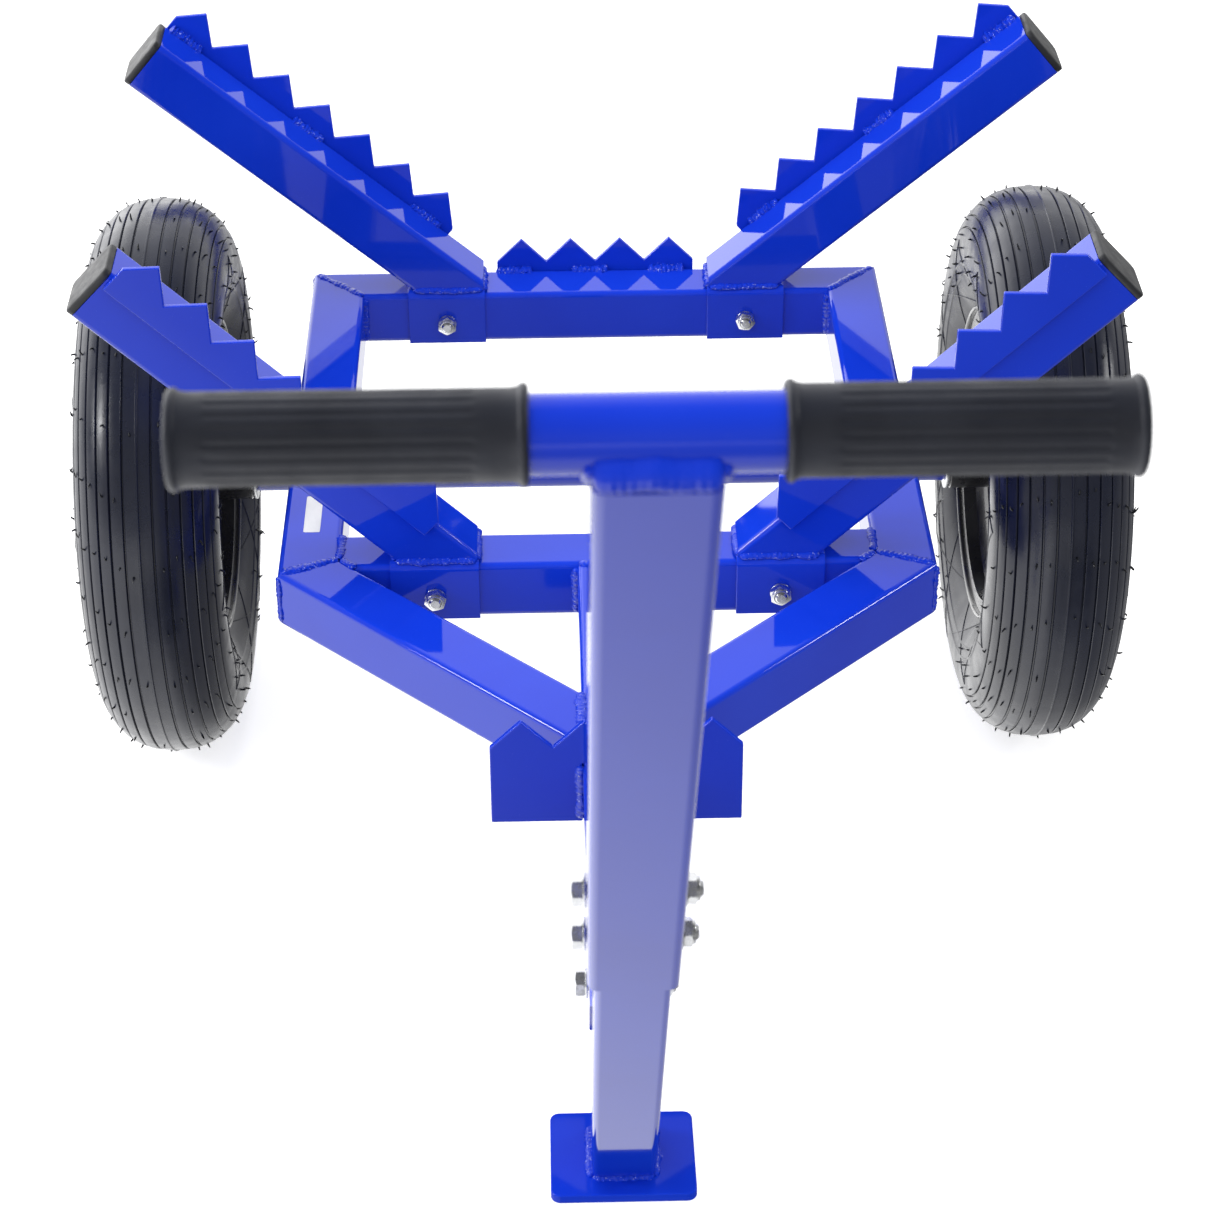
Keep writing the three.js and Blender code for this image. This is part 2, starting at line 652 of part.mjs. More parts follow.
function tyreGeometry() {
  const bead = RIM_HALF - 0.6;
  const outer = tyreCurve(0, 7);
  const inner = tyreCurve(TYRE_WALL, 5);
  const half = [
    [BEAD_RADIUS + 0.6, bead - 9], [BEAD_RADIUS + 0.6, bead - 1], [FLANGE_TOP + 1, bead], ...outer.slice(1),
  ];
  const insideHalf = [[BEAD_RADIUS + 7, bead - 9], ...inner.slice(1)];
  const mirror = (list) => list.map(([radius, x]) => [radius, -x]);
  const outline = [
    ...mirror(half).slice(0, -1), ...half.slice().reverse(), ...insideHalf.slice(0, -1),
    ...mirror(insideHalf).reverse(),
  ];
  outline.push(outline[0]);
  return turnedX(outline, ROUND);
}

// Channel with a drop centre and a web down to the hub.
function rimGeometry() {
  const bore = HUB_RADIUS + GAP;
  const well = RIM_HALF - 14;
  const half = [
    [bore, WEB_HALF], [WELL_RADIUS - RIM_WALL, WEB_HALF], [WELL_RADIUS - RIM_WALL, well],
    [BEAD_RADIUS - RIM_WALL, well + 6], [BEAD_RADIUS - RIM_WALL, RIM_HALF + RIM_WALL],
    [FLANGE_TOP, RIM_HALF + RIM_WALL], [FLANGE_TOP, RIM_HALF], [BEAD_RADIUS, RIM_HALF],
    [BEAD_RADIUS, well + 6], [WELL_RADIUS, well],
  ];
  const other = half.map(([radius, x]) => [radius, -x]);
  const outline = [...other, ...half.reverse()];
  outline.push(outline[0]);
  return turnedX(outline, ROUND);
}

function hubGeometry() {
  const half = (HUB_OUTER_X - HUB_INNER_X) / 2;
  const seat = half - BEARING_WIDTH - 0.2;
  const seatRadius = BEARING_RADIUS + 0.05;
  const bore = BEARING_RADIUS - 2;
  return turnedX([
    [seatRadius, -half], [HUB_RADIUS, -half], [HUB_RADIUS, half], [seatRadius, half], [seatRadius, seat],
    [bore, seat], [bore, -seat], [seatRadius, -seat], [seatRadius, -half],
  ], ROUND);
}

function bearingGeometry() {
  const half = BEARING_WIDTH / 2;
  return turnedX([
    [BEARING_BORE, -half], [BEARING_RADIUS, -half], [BEARING_RADIUS, half], [BEARING_BORE, half],
    [BEARING_BORE, -half],
  ], ROUND);
}

function washerGeometry() {
  const bore = JOURNAL_RADIUS + GAP;
  return turnedX([
    [bore, 0], [HUB_RADIUS, 0], [HUB_RADIUS, WASHER_THICKNESS], [bore, WASHER_THICKNESS], [bore, 0],
  ], 24);
}

function axleNutGeometry() {
  const hex = rodX(AXLE_NUT_FLATS / Math.sqrt(3), 0, AXLE_NUT_HEIGHT, 6);
  const bore = rodX(AXLE_THREAD_RADIUS + 0.2, -1, AXLE_NUT_HEIGHT + 1, ROUND);
  return cut(hex, bore);
}

function addWheel(name, side) {
  const wheel = new THREE.Group();
  wheel.position.z = WHEEL_RADIUS;
  wheel.rotation.z = side > 0 ? 0 : Math.PI;
  dolly.add(wheel);

  const at = (mesh, station) => {
    mesh.position.x = station;
    return mesh;
  };
  const bearingInset = BEARING_WIDTH / 2 + 0.05;
  wheel.add(
    at(piece(`${name}_tyre`, tyreGeometry(), 'tyre'), WHEEL_PLANE),
    at(piece(`${name}_rim`, rimGeometry(), 'black_paint'), WHEEL_PLANE),
    at(piece(`${name}_hub`, hubGeometry(), 'black_paint'), (HUB_INNER_X + HUB_OUTER_X) / 2),
    at(piece(`${name}_inner_bearing`, bearingGeometry(), 'bearing_steel'), HUB_INNER_X + bearingInset),
    at(piece(`${name}_outer_bearing`, bearingGeometry(), 'bearing_steel'), HUB_OUTER_X - bearingInset),
    at(piece(`${name}_inner_washer`, washerGeometry(), 'zinc'), SHOULDER_X + GAP),
    at(piece(`${name}_axle_nut`, axleNutGeometry(), 'zinc'), JOURNAL_END_X + GAP),
  );
}

addWheel('left', -1);
addWheel('right', 1);

export default dolly;
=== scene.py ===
"""Looks of the two-wheel log dolly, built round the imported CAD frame.

Painted tubes and plates are the CAD's own shapes with dressed edges. Round parts, fasteners,
tyres, grips and caps are rebuilt with finer detail. Weld beads, whiskers, valve stems and a blank
label are added.
Lengths in this script are millimetres unless a name or comment says metres.
"""

import json
import math
import random

import bmesh
import bpy
from mathutils import Matrix, Vector, noise


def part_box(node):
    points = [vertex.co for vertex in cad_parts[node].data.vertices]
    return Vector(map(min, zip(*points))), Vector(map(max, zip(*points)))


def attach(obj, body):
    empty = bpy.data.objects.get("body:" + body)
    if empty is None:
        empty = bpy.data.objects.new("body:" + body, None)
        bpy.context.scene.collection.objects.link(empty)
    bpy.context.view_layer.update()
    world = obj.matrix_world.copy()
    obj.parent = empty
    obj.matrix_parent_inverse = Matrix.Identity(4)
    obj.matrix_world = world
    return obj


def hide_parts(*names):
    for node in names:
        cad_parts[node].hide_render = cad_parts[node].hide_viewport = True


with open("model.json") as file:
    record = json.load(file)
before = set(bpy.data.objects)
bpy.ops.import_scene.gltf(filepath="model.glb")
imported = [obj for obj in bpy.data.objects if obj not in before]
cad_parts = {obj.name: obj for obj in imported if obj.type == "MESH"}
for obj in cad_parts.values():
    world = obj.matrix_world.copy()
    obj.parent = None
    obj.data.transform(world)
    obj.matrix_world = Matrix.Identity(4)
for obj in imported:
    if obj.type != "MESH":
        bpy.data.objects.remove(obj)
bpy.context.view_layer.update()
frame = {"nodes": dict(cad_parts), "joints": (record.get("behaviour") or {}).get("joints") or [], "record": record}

MM = 0.001
TURN = 2 * math.pi

# ---- Driving values, from the frame ----

record = frame["record"]
mounts = {mount["name"]: mount for mount in record["mounts"]}
_, axle_y, axle_z = frame["joints"][0]["pos_m"]
rail_normal = Vector(mounts["left_rail_top"]["axis"])
nose_down = math.atan2(-rail_normal.y, rail_normal.z)
foot_low, foot_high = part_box("foot_plate")

LEG_ANGLE = math.radians(54)  # above the ground
LEG_FOOT_Y = (foot_low.y + foot_high.y) / 2 + foot_high.z / math.tan(LEG_ANGLE)  # metres

GAP = 0.3  # between two pieces that rest on each other
TUBE = 40
FRAME_BOTTOM = 12.8
FRAME_TOP = FRAME_BOTTOM + TUBE
HALF_WIDTH = 215
HALF_LENGTH = 211
RAIL_INNER = HALF_WIDTH - TUBE
CROSSBAR_Y = HALF_LENGTH - TUBE / 2
SADDLE_OUTSIDE = 46.6  # over its two walls
SADDLE_TOP = 56.1
BOLT_X = 113
BOLT_Z = FRAME_TOP - 22
ARM_FOOT_X = 139
ARM_TOE_X = 85
REAR_ARM = (math.radians(40.4), 260.5)  # slope and length
FRONT_ARM = (math.radians(43.5), 264.5)
PLATE_INNER = TUBE / 2 + GAP  # the tooth strips lie on the tubes' outer faces
FRONT_PLATE = (-433, -429)
BRACE_MEETS_TONGUE = (-412, -356)

POST_TUBE = 44.8
POST_BOLTS = (403, 464)
T_BAR_STATION = 906
T_BAR_RADIUS = 14
T_BAR_HALF = 158.7
GRIP_START = 42.5
GRIP_LENGTH = 120

CHASSIS = Matrix.Translation((0, axle_y, axle_z)) @ Matrix.Rotation(nose_down, 4, "X")
MEMBER = Matrix.Translation((0, LEG_FOOT_Y, 0)) @ Matrix.Rotation(math.pi / 2 - LEG_ANGLE, 4, "X")

ARMS = {
    "rear_left": (-1, 1),
    "rear_right": (1, 1),
    "front_left": (-1, -1),
    "front_right": (1, -1),
}


def shift(x, y, z):
    """A move in millimetres as a matrix in metres."""
    return Matrix.Translation((x * MM, y * MM, z * MM))


def about(axis, angle):
    return Matrix.Rotation(angle, 4, axis)


def facing_out(side):
    """Turns X outwards on the right (1) or left (-1)."""
    return about("Z", 0 if side > 0 else math.pi)


def arm_size(end):
    """Slope and length of a rear (1) or front (-1) arm."""
    return REAR_ARM if end > 0 else FRONT_ARM


def arm_matrix(side, end):
    """X runs up the arm from its lower outer foot, and Z is square to its upper face."""
    slope = about("Y", -side * arm_size(end)[0])
    foot = shift(side * ARM_FOOT_X, end * CROSSBAR_Y, SADDLE_TOP + GAP)
    return CHASSIS @ foot @ slope @ facing_out(side)


def wheel_matrix(side):
    """X runs outwards along the axle from the dolly's middle."""
    return Matrix.Translation((0, axle_y, axle_z)) @ facing_out(side)


# ---- Node materials ----


class Tree:
    """A node tree with short calls for new nodes and links."""

    def __init__(self, tree):
        self.tree = tree

    def link(self, output, socket):
        self.tree.links.new(output, socket)

    def new(self, kind, **values):
        """A shader node whose inputs are given a value or another node's output."""
        node = self.tree.nodes.new("ShaderNode" + kind)
        for name, value in values.items():
            socket = node.inputs[name.replace("_", " ")]
            if isinstance(value, bpy.types.NodeSocket):
                self.link(value, socket)
            else:
                socket.default_value = value
        return node


class Nodes(Tree):
    """A material's node tree."""

    def __init__(self, name):
        self.material = bpy.data.materials.new(name)
        self.material.use_nodes = True
        super().__init__(self.material.node_tree)
        self.surface = self.tree.nodes["Principled BSDF"]
        self.place = self.new("TexCoord").outputs["Object"]

    def set(self, **values):
        for name, value in values.items():
            self.surface.inputs[name.replace("_", " ")].default_value = value

    def noise(self, scale, detail=3.0, roughness=0.55):
        node = self.new("TexNoise", Scale=scale, Detail=detail, Roughness=roughness)
        self.link(self.place, node.inputs["Vector"])
        return node.outputs["Fac"]

    def spots(self, scale, size):
        """Small round spots, 1 inside and 0 outside."""
        node = self.new("TexVoronoi", Scale=scale, Vector=self.place)
        return self.spread(node.outputs["Distance"], 1.0, 0.0, 0.0, size)

    def spread(self, value, low, high, start=0.3, stop=0.7):
        node = self.new("MapRange", From_Min=start, From_Max=stop, To_Min=low, To_Max=high)
        self.link(value, node.inputs["Value"])
        return node.outputs["Result"]

    def blend(self, factor, first, second):
        node = self.new("Mix")
        node.data_type = "RGBA"
        colours = [s for s in node.inputs if s.type == "RGBA"]
        for socket, value in zip(colours, (first, second)):
            if isinstance(value, tuple):
                socket.default_value = (*value, 1)
            else:
                self.link(value, socket)
        self.link(factor, node.inputs["Factor"])
        return [s for s in node.outputs if s.type == "RGBA"][0]

    def bump(self, height, distance, strength=1.0, below=None):
        node = self.new("Bump", Strength=strength, Distance=distance, Height=height)
        if below is not None:
            self.link(below, node.inputs["Normal"])
        return node.outputs["Normal"]

    def finish(self, colour, roughness, normal):
        self.link(colour, self.surface.inputs["Base Color"])
        self.link(roughness, self.surface.inputs["Roughness"])
        self.link(normal, self.surface.inputs["Normal"])
        return self.material


def blue_paint(name, weld=0.0, gloss=1.0):
    """Glossy powder coat: deep blue with faint clouds, light orange peel, a few dust specks and, on welds, painted
    glints.
    """
    nodes = Nodes(name)
    nodes.set(Coat_Weight=gloss, Coat_Roughness=0.05, Coat_IOR=1.5, Specular_IOR_Level=0.0)
    clouds = nodes.spread(nodes.noise(7), 0.0, 1.0)
    colour = nodes.blend(clouds, (0.004, 0.032, 0.56), (0.007, 0.045, 0.64))
    specks = nodes.spots(260, 0.07)
    colour = nodes.blend(specks, colour, (0.06, 0.11, 0.7))
    peel = nodes.bump(nodes.noise(240, 2.0), 0.00006)
    peel = nodes.bump(specks, 0.00012, 0.6, peel)
    if weld:
        # Painted highlights: light specks painted into the weld colour as glints, standing in for sparkles.
        painted_glints = nodes.spread(nodes.noise(520, 3.0, 0.7), 0.0, 1.0, 0.62, 0.68)
        colour = nodes.blend(painted_glints, colour, (0.34, 0.4, 0.86))
        peel = nodes.bump(nodes.noise(620, 4.0, 0.7), weld * MM, 0.9, peel)
        nodes.link(peel, nodes.surface.inputs["Coat Normal"])
    roughness = nodes.spread(nodes.noise(35), 0.16, 0.26)
    return nodes.finish(colour, roughness, peel)


def tyre_rubber(name, dark, light):
    nodes = Nodes(name)
    nodes.set(Specular_IOR_Level=0.55)
    bloom = nodes.spread(nodes.noise(14, 5.0), 0.0, 1.0)
    colour = nodes.blend(bloom, dark, light)
    grain = nodes.bump(nodes.noise(900, 4.0), 0.00005)
    grain = nodes.bump(nodes.noise(90, 3.0), 0.0002, 0.5, grain)
    return nodes.finish(colour, nodes.spread(nodes.noise(60), 0.22, 0.36), grain)


def plain(name, clouds, dark, light, grain, gloss, **settings):
    """A finish with clouds of tone, a fine grain and uneven gloss.

    Each of the three starts with a noise scale and detail. The grain's height in metres follows,
    and for gloss the lowest and highest roughness.
    """
    nodes = Nodes(name)
    nodes.set(**settings)
    colour = nodes.blend(nodes.spread(nodes.noise(*clouds), 0.0, 1.0), dark, light)
    *texture, height = grain
    relief = nodes.bump(nodes.noise(*texture), height)
    *texture, low, high = gloss
    return nodes.finish(colour, nodes.spread(nodes.noise(*texture), low, high), relief)


def metal(name, dark, light, low, high):
    """Plated or ground metal with slight tone and gloss variation."""
    grain = (1300, 4.0, 0.00003)
    return plain(name, (160, 5.0), dark, light, grain, (300, 4.0, low, high), Metallic=1.0)


# Each finish is a material with a slot name.
PAINT = (blue_paint("blue_powder_coat"), "blue_paint")
WELD_PAINT = (blue_paint("blue_powder_coat_on_weld", weld=0.35), "blue_paint")
DULL_PAINT = (blue_paint("blue_powder_coat_scuffed", gloss=0.3), "blue_paint")
TREAD_TONES = ((0.006, 0.008, 0.019), (0.011, 0.014, 0.030))
WHISKER_TONES = ((0.003, 0.004, 0.006), (0.005, 0.006, 0.009))
TYRE = (tyre_rubber("tyre_rubber", *TREAD_TONES), "tyre_rubber")
WHISKER = (tyre_rubber("whisker_rubber", *WHISKER_TONES), "tyre_rubber")
GRIP = (plain(
    "grip_rubber", (30, 4.0), (0.009, 0.011, 0.020), (0.016, 0.019, 0.031),
    (1100, 4.0, 0.00006), (80, 3.0, 0.4, 0.56), Specular_IOR_Level=0.5,
), "grip_rubber")
PLASTIC = (plain(
    "black_plastic", (50, 4.0), (0.014, 0.015, 0.018), (0.024, 0.025, 0.029),
    (1500, 3.0, 0.00008), (120, 3.0, 0.38, 0.55),
), "black_plastic")
BLACK = (plain(
    "black_paint", (12, 3.0), (0.008, 0.008, 0.01), (0.014, 0.014, 0.017),
    (260, 2.0, 0.00008), (40, 3.0, 0.22, 0.36), Coat_Weight=0.8, Coat_Roughness=0.08,
), "black_paint")
ZINC = (metal("zinc_plate", (0.62, 0.63, 0.64), (0.82, 0.83, 0.85), 0.18, 0.36), "zinc")
STEEL = (metal("ground_steel", (0.6, 0.6, 0.6), (0.74, 0.74, 0.75), 0.2, 0.34), "bearing_steel")
LABEL = (plain(
    "label_vinyl", (60, 3.0), (0.74, 0.75, 0.76), (0.83, 0.83, 0.84),
    (500, 3.0, 0.00003), (90, 3.0, 0.3, 0.42),
), "black_plastic")

# ---- Shapes: lists of points in millimetres and faces ----


class Shape:
    """Closed bodies gathered into one mesh."""

    def __init__(self):
        self.points = []
        self.faces = []

    def add(self, points, faces, matrix=None):
        """matrix is in metres, as every matrix here; the points stay in millimetres."""
        base = len(self.points)
        for point in points:
            point = Vector(point)
            if matrix is not None:
                point = (matrix @ (point * MM)) / MM
            self.points.append(point)
        self.faces.extend([[base + corner for corner in face] for face in faces])
        return self


def loft(rings, closed=False):
    """A skin over rings of equal count. Open lofts are capped, and closed ones join up."""
    count = len(rings[0])
    points = [point for ring in rings for point in ring]
    faces = []
    last = len(rings) if closed else len(rings) - 1
    for row in range(last):
        a = row * count
        b = ((row + 1) % len(rings)) * count
        for k in range(count):
            n = (k + 1) % count
            faces.append([a + k, a + n, b + n, b + k])
    if not closed:
        faces.append(list(range(count))[::-1])
        faces.append([last * count + k for k in range(count)])
    return points, faces


def around(x, radius, angle):
    """A point at a station along X, a radius from it and a turn about it."""
    return Vector((x, radius * math.cos(angle), radius * math.sin(angle)))


def circle(radius, x, sides):
    """A ring about X."""
    return [around(x, radius, TURN * k / sides) for k in range(sides)]


def turned(outline, sides, closed=False):
    """A solid of revolution about X from [radius, station] points."""
    return loft([circle(max(radius, 0.02), x, sides) for radius, x in outline], closed)


def arc(centre_radius, centre_x, radius, start, stop, steps):
    """Outline points on an arc. 0 degrees points outwards from the axis, and 90 along +X."""
    points = []
    for step in range(steps + 1):
        angle = math.radians(start + (stop - start) * step / steps)
        out = centre_radius + radius * math.cos(angle)
        points.append((out, centre_x + radius * math.sin(angle)))
    return points


def rounded_disc(radius, x0, x1, edge, bore=0.0):
    """Outline of a washer or disc with rounded rims."""
    outer = arc(radius - edge, x0 + edge, edge, -90, 0, 3)
    outer += arc(radius - edge, x1 - edge, edge, 0, 90, 3)
    if not bore:
        return outer
    chamfer = edge / 2
    outer += [(bore + chamfer, x1), (bore, x1 - chamfer)]
    return outer + [(bore, x0 + chamfer), (bore + chamfer, x0)]


def rounded_rectangle(half_u, half_v, radius, steps):
    """Points round a rectangle with rounded corners."""
    points = []
    for corner in range(4):
        u = (half_u - radius) * (1 if corner in (0, 3) else -1)
        v = (half_v - radius) * (1 if corner in (0, 1) else -1)
        for step in range(steps + 1):
            angle = math.pi / 2 * (corner + step / steps)
            points.append((u + radius * math.cos(angle), v + radius * math.sin(angle)))
    return points


def tube_along(path, radii, sides):
    """A closed round cord through the points of a path, with a radius for each."""
    rings = []
    for k, point in enumerate(path):
        tangent = (path[min(k + 1, len(path) - 1)] - path[max(k - 1, 0)]).normalized()
        guide = Vector((0, 0, 1)) if abs(tangent.z) < 0.9 else Vector((1, 0, 0))
        across = tangent.cross(guide).normalized()
        other = tangent.cross(across)
        ring = []
        for j in range(sides):
            angle = TURN * j / sides
            out = across * math.cos(angle) + other * math.sin(angle)
            ring.append(point + out * radii[k])
        rings.append(ring)
    return loft(rings)


def spun(outline, sides, closed=True):
    """A shape turned about X from [radius, x] points."""
    return Shape().add(*turned(outline, sides, closed=closed))


def flipped(points):
    """[radius, x] points on the other side of the middle, in reverse order."""
    return [(radius, -x) for radius, x in reversed(points)]


def put(name, shape, matrix, finish, body="chassis", replaced=(), sharp=32):
    """Makes the object, lets it ride on its body and stand for its CAD nodes."""
    mesh = bpy.data.meshes.new(name)
    mesh.from_pydata([matrix @ (point * MM) for point in shape.points], [], shape.faces)
    work = bmesh.new()
    work.from_mesh(mesh)
    bmesh.ops.recalc_face_normals(work, faces=work.faces)
    work.to_mesh(mesh)
    work.free()
    return dress(name, mesh, finish, body, replaced, sharp)


def dress(name, mesh, finish, body, replaced, sharp):
    material, slot = finish
    mesh.shade_smooth()
    mesh.set_sharp_from_angle(angle=math.radians(sharp))
    mesh.materials.clear()
    mesh.materials.append(material)
    piece = bpy.data.objects.new(name, mesh)
    bpy.context.scene.collection.objects.link(piece)
    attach(piece, body)
    if replaced:
        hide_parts(*replaced)
    return piece


SOFT_EDGE = math.radians(34)  # a turn sharper than this is an edge


def edged(node, edge, finish=PAINT):
    """The CAD solid of a painted tube or plate, with its flat faces whole and its edges rounded."""
    mesh = frame["nodes"][node].data.copy()
    for name in ("custom_normal", "sharp_edge", "sharp_face"):
        attribute = mesh.attributes.get(name)
        if attribute is not None:
            mesh.attributes.remove(attribute)
    work = bmesh.new()
    work.from_mesh(mesh)
    bmesh.ops.remove_doubles(work, verts=work.verts, dist=2e-6)
    flat = math.radians(1.5)
    bmesh.ops.dissolve_limit(work, angle_limit=flat, verts=work.verts, edges=work.edges)
    work.to_mesh(mesh)
    work.free()
    piece = dress(f"{node}_painted", mesh, finish, "chassis", [node], math.degrees(SOFT_EDGE))
    bevel = piece.modifiers.new("edge", "BEVEL")
    bevel.width = edge * MM
    bevel.segments = 2
    bevel.limit_method = "ANGLE"
    bevel.angle_limit = SOFT_EDGE
    level = piece.modifiers.new("level", "WEIGHTED_NORMAL")
    level.keep_sharp = False
    level.weight = 90
    return piece


# ---- Fasteners ----

HEX_SIDES = 48
HEX_CONE = math.tan(math.radians(28))  # slope of the turned-down corners


def hex_radius(flats, angle):
    return flats / 2 / math.cos((angle % (TURN / 6)) - TURN / 12)


def hex_ring(flats, x, chamfer, direction):
    """One edge of a hexagon: each point steps back by the cone that turned the corners off."""
    ring = []
    for k in range(HEX_SIDES):
        angle = TURN * k / HEX_SIDES
        radius = hex_radius(flats, angle)
        back = max(radius - chamfer, 0) * HEX_CONE
        ring.append(around(x + direction * back, radius, angle))
    return ring


def hexagon(flats, x0, x1, bore=0.0):
    """A hexagon along X with both faces turned down to a circle, and a bore if it is a nut."""
    turned_down = flats / 2 * 0.97
    rings = [
        circle(turned_down, x0, HEX_SIDES),
        hex_ring(flats, x0, turned_down, 1),
        hex_ring(flats, x1, turned_down, -1),
        circle(turned_down, x1, HEX_SIDES),
    ]
    if bore:
        mouth = ((0.6, x1), (0, x1 - 0.6), (0, x0 + 0.6), (0.6, x0))
        rings += [circle(bore + wider, x, HEX_SIDES) for wider, x in mouth]
    return loft(rings, closed=bool(bore))


def thread(radius, x0, x1, pitch):
    """A threaded rod with a helical ridge and a chamfered tip at x1."""
    sides = 20
    steps = max(int((x1 - x0) / pitch * 6), 2)
    rings = []
    for step in range(steps + 1):
        x = x0 + (x1 - x0) * step / steps
        limit = min(radius, radius - 1 + (x1 - x))
        ring = []
        for k in range(sides):
            phase = (x / pitch - k / sides) % 1.0
            depth = 0.5 * pitch * (1 - abs(2 * phase - 1))
            ring.append(around(x, min(radius - depth, limit), TURN * k / sides))
        rings.append(ring)
    return loft(rings)


M8 = 4.0
M8_PITCH = 1.25
HEX_FLATS = 13
HEAD_HEIGHT = 5.5
WASHER_RADIUS = 8.3
WASHER_HEIGHT = 1.5
NUT_HEIGHT = 7.5
NUT_COLLAR = 1.5
NUT_BORE = 4.25
COLLAR_RADIUS = 5.9
BOLT_TIP = 1.6
SADDLE_SEAT = 6.9  # the small flange on the saddles' fasteners
NUT_AHEAD = 17  # degrees from a saddle's bolt head to its nut


def fastener(bolt, nut, matrix, half, turn, nut_turn, seat=WASHER_RADIUS):
    """Hex bolt from -X and lock nut at +X, each on a washer, clamping a width of twice half."""
    spin = matrix @ about("X", math.radians(turn))
    tip = half + NUT_HEIGHT + BOLT_TIP
    body = Shape()
    under_head = -half - WASHER_HEIGHT
    body.add(*turned(rounded_disc(WASHER_RADIUS, under_head, -half, 0.4), 40))
    body.add(*hexagon(HEX_FLATS, under_head - HEAD_HEIGHT, under_head + 0.05))
    body.add(*turned([(M8, -half - 1), (M8, half - 2)], 24))
    body.add(*thread(M8, half - 2.2, tip, M8_PITCH))
    put(bolt + "_zinc", body, spin, ZINC, replaced=[bolt])
    top = half + NUT_HEIGHT
    collar = top - NUT_COLLAR
    lock = Shape()
    flange = rounded_disc(seat, half, half + WASHER_HEIGHT, 0.4, 4.4)
    lock.add(*turned(flange, 40, closed=True))
    lock.add(*hexagon(HEX_FLATS, half + WASHER_HEIGHT, collar, NUT_BORE))
    dome = [(NUT_BORE, collar - 1), (COLLAR_RADIUS, collar - 1), (COLLAR_RADIUS, top - 1)]
    dome += arc(COLLAR_RADIUS - 1, top - 1, 1, 0, 90, 4)[1:] + [(NUT_BORE, top)]
    lock.add(*turned(dome, 32, closed=True))
    nut_spin = matrix @ about("X", math.radians(nut_turn))
    put(nut + "_zinc", lock, nut_spin, ZINC, replaced=[nut])


def add_fasteners():
    """Heads and nuts are as the spanner left them, so each has its own turn in degrees."""
    for index, (name, (side, end)) in enumerate(ARMS.items()):
        along_y = about("Z", -math.pi / 2)
        place = CHASSIS @ shift(side * BOLT_X, end * CROSSBAR_Y, BOLT_Z) @ along_y
        turn = 11 + 23 * index
        fastener(f"{name}_saddle_bolt", f"{name}_saddle_nut", place, SADDLE_OUTSIDE / 2 + GAP, turn,
                 turn + NUT_AHEAD, SADDLE_SEAT)
    low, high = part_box("tongue_bolt")
    centre = (low + high) / 2
    place = Matrix.Translation((0, centre.y, centre.z))
    fastener("tongue_bolt", "tongue_nut", place, TUBE / 2 + GAP, 31, 52)
    for name, station, nut_turn in zip(("lower", "upper"), POST_BOLTS, (4, 23)):
        place = MEMBER @ shift(0, 0, station)
        half = POST_TUBE / 2 + GAP
        fastener(f"{name}_post_bolt", f"{name}_post_nut", place, half, 18.6, nut_turn)


# ---- Frame ----

RAILS = ["left_rail", "right_rail", "rear_crossbar", "front_crossbar"]
TUBES = RAILS + ["left_brace", "right_brace", "tongue", "support_leg", "handle_post"]
PLATES = ["rear_tooth_plate", "front_tooth_plate"] + [f"{arm}_tooth_plate" for arm in ARMS]


def add_frame():
    for node in TUBES:
        edged(node, 0.5)
    for node in PLATES:
        edged(node, 0.75)
    for arm in ARMS:
        edged(f"{arm}_saddle", 0.7)
        edged(f"{arm}_arm", 0.5)
    edged("foot_plate", 1.0, DULL_PAINT)


AXLE_STEPS = ((12.5, 246.0), (10.0, 350.5))  # radius of each step, and how far out it reaches
AXLE_END = 369
AXLE_CORE = 7.2  # under the threads


def add_axle():
    (shoulder, shoulder_x), (journal, journal_x) = AXLE_STEPS
    half = [(AXLE_CORE, journal_x + 1), (AXLE_CORE, journal_x)]
    half += [(journal - 0.5, journal_x), (journal, journal_x - 0.6)]
    half += [(journal, shoulder_x), (shoulder - 0.7, shoulder_x), (shoulder, shoulder_x - 0.8)]
    shape = spun(half + flipped(half), 72, closed=False)
    for side in (1, -1):
        shape.add(*thread(8, journal_x - 0.5, AXLE_END, 1.5), facing_out(side))
    put("axle_painted", shape, Matrix.Translation((0, axle_y, axle_z)), PAINT, replaced=["axle"])


CAP_PLUG = 14  # how far a cap's plug reaches into its arm
CAP_RADIUS = 4.0
CAP_EDGE = 3.0  # height of the head's straight side


def add_end_caps():
    """A moulded plug: its head is a cushion-edged square, a little crowned."""
    def square(half, radius, x):
        return [Vector((x, u, v + TUBE / 2)) for u, v in rounded_rectangle(half, half, radius, 6)]

    for name, (side, end) in ARMS.items():
        length = arm_size(end)[1]
        face = length + GAP
        head = [square(19.7, 3.9, face)]
        head += [square(20.0, CAP_RADIUS, face + rise) for rise in (0.5, CAP_EDGE)]
        for step in range(1, 5):
            angle = math.pi / 2 * step / 4
            half = 20 - 1.7 * (1 - math.cos(angle))
            head.append(square(half, CAP_RADIUS, face + CAP_EDGE + 1.6 * math.sin(angle)))
        for share in (0.8, 0.55, 0.25):
            crown = 0.5 * (1 - share ** 2)
            head.append(square(18.3 * share, CAP_RADIUS * share, face + 4.6 + crown))
        plug = [square(17.0, 2.0, x) for x in (length - CAP_PLUG, face + 1)]
        shape = Shape().add(*loft(head)).add(*loft(plug))
        cap = f"{name}_end_cap"
        put(f"{cap}_moulded", shape, arm_matrix(side, end), PLASTIC, replaced=[cap], sharp=40)


LABEL_MIDDLE = (-195.5, -144)
LABEL_HALF = (5.5, 23)
LABEL_RADIUS = 1.2


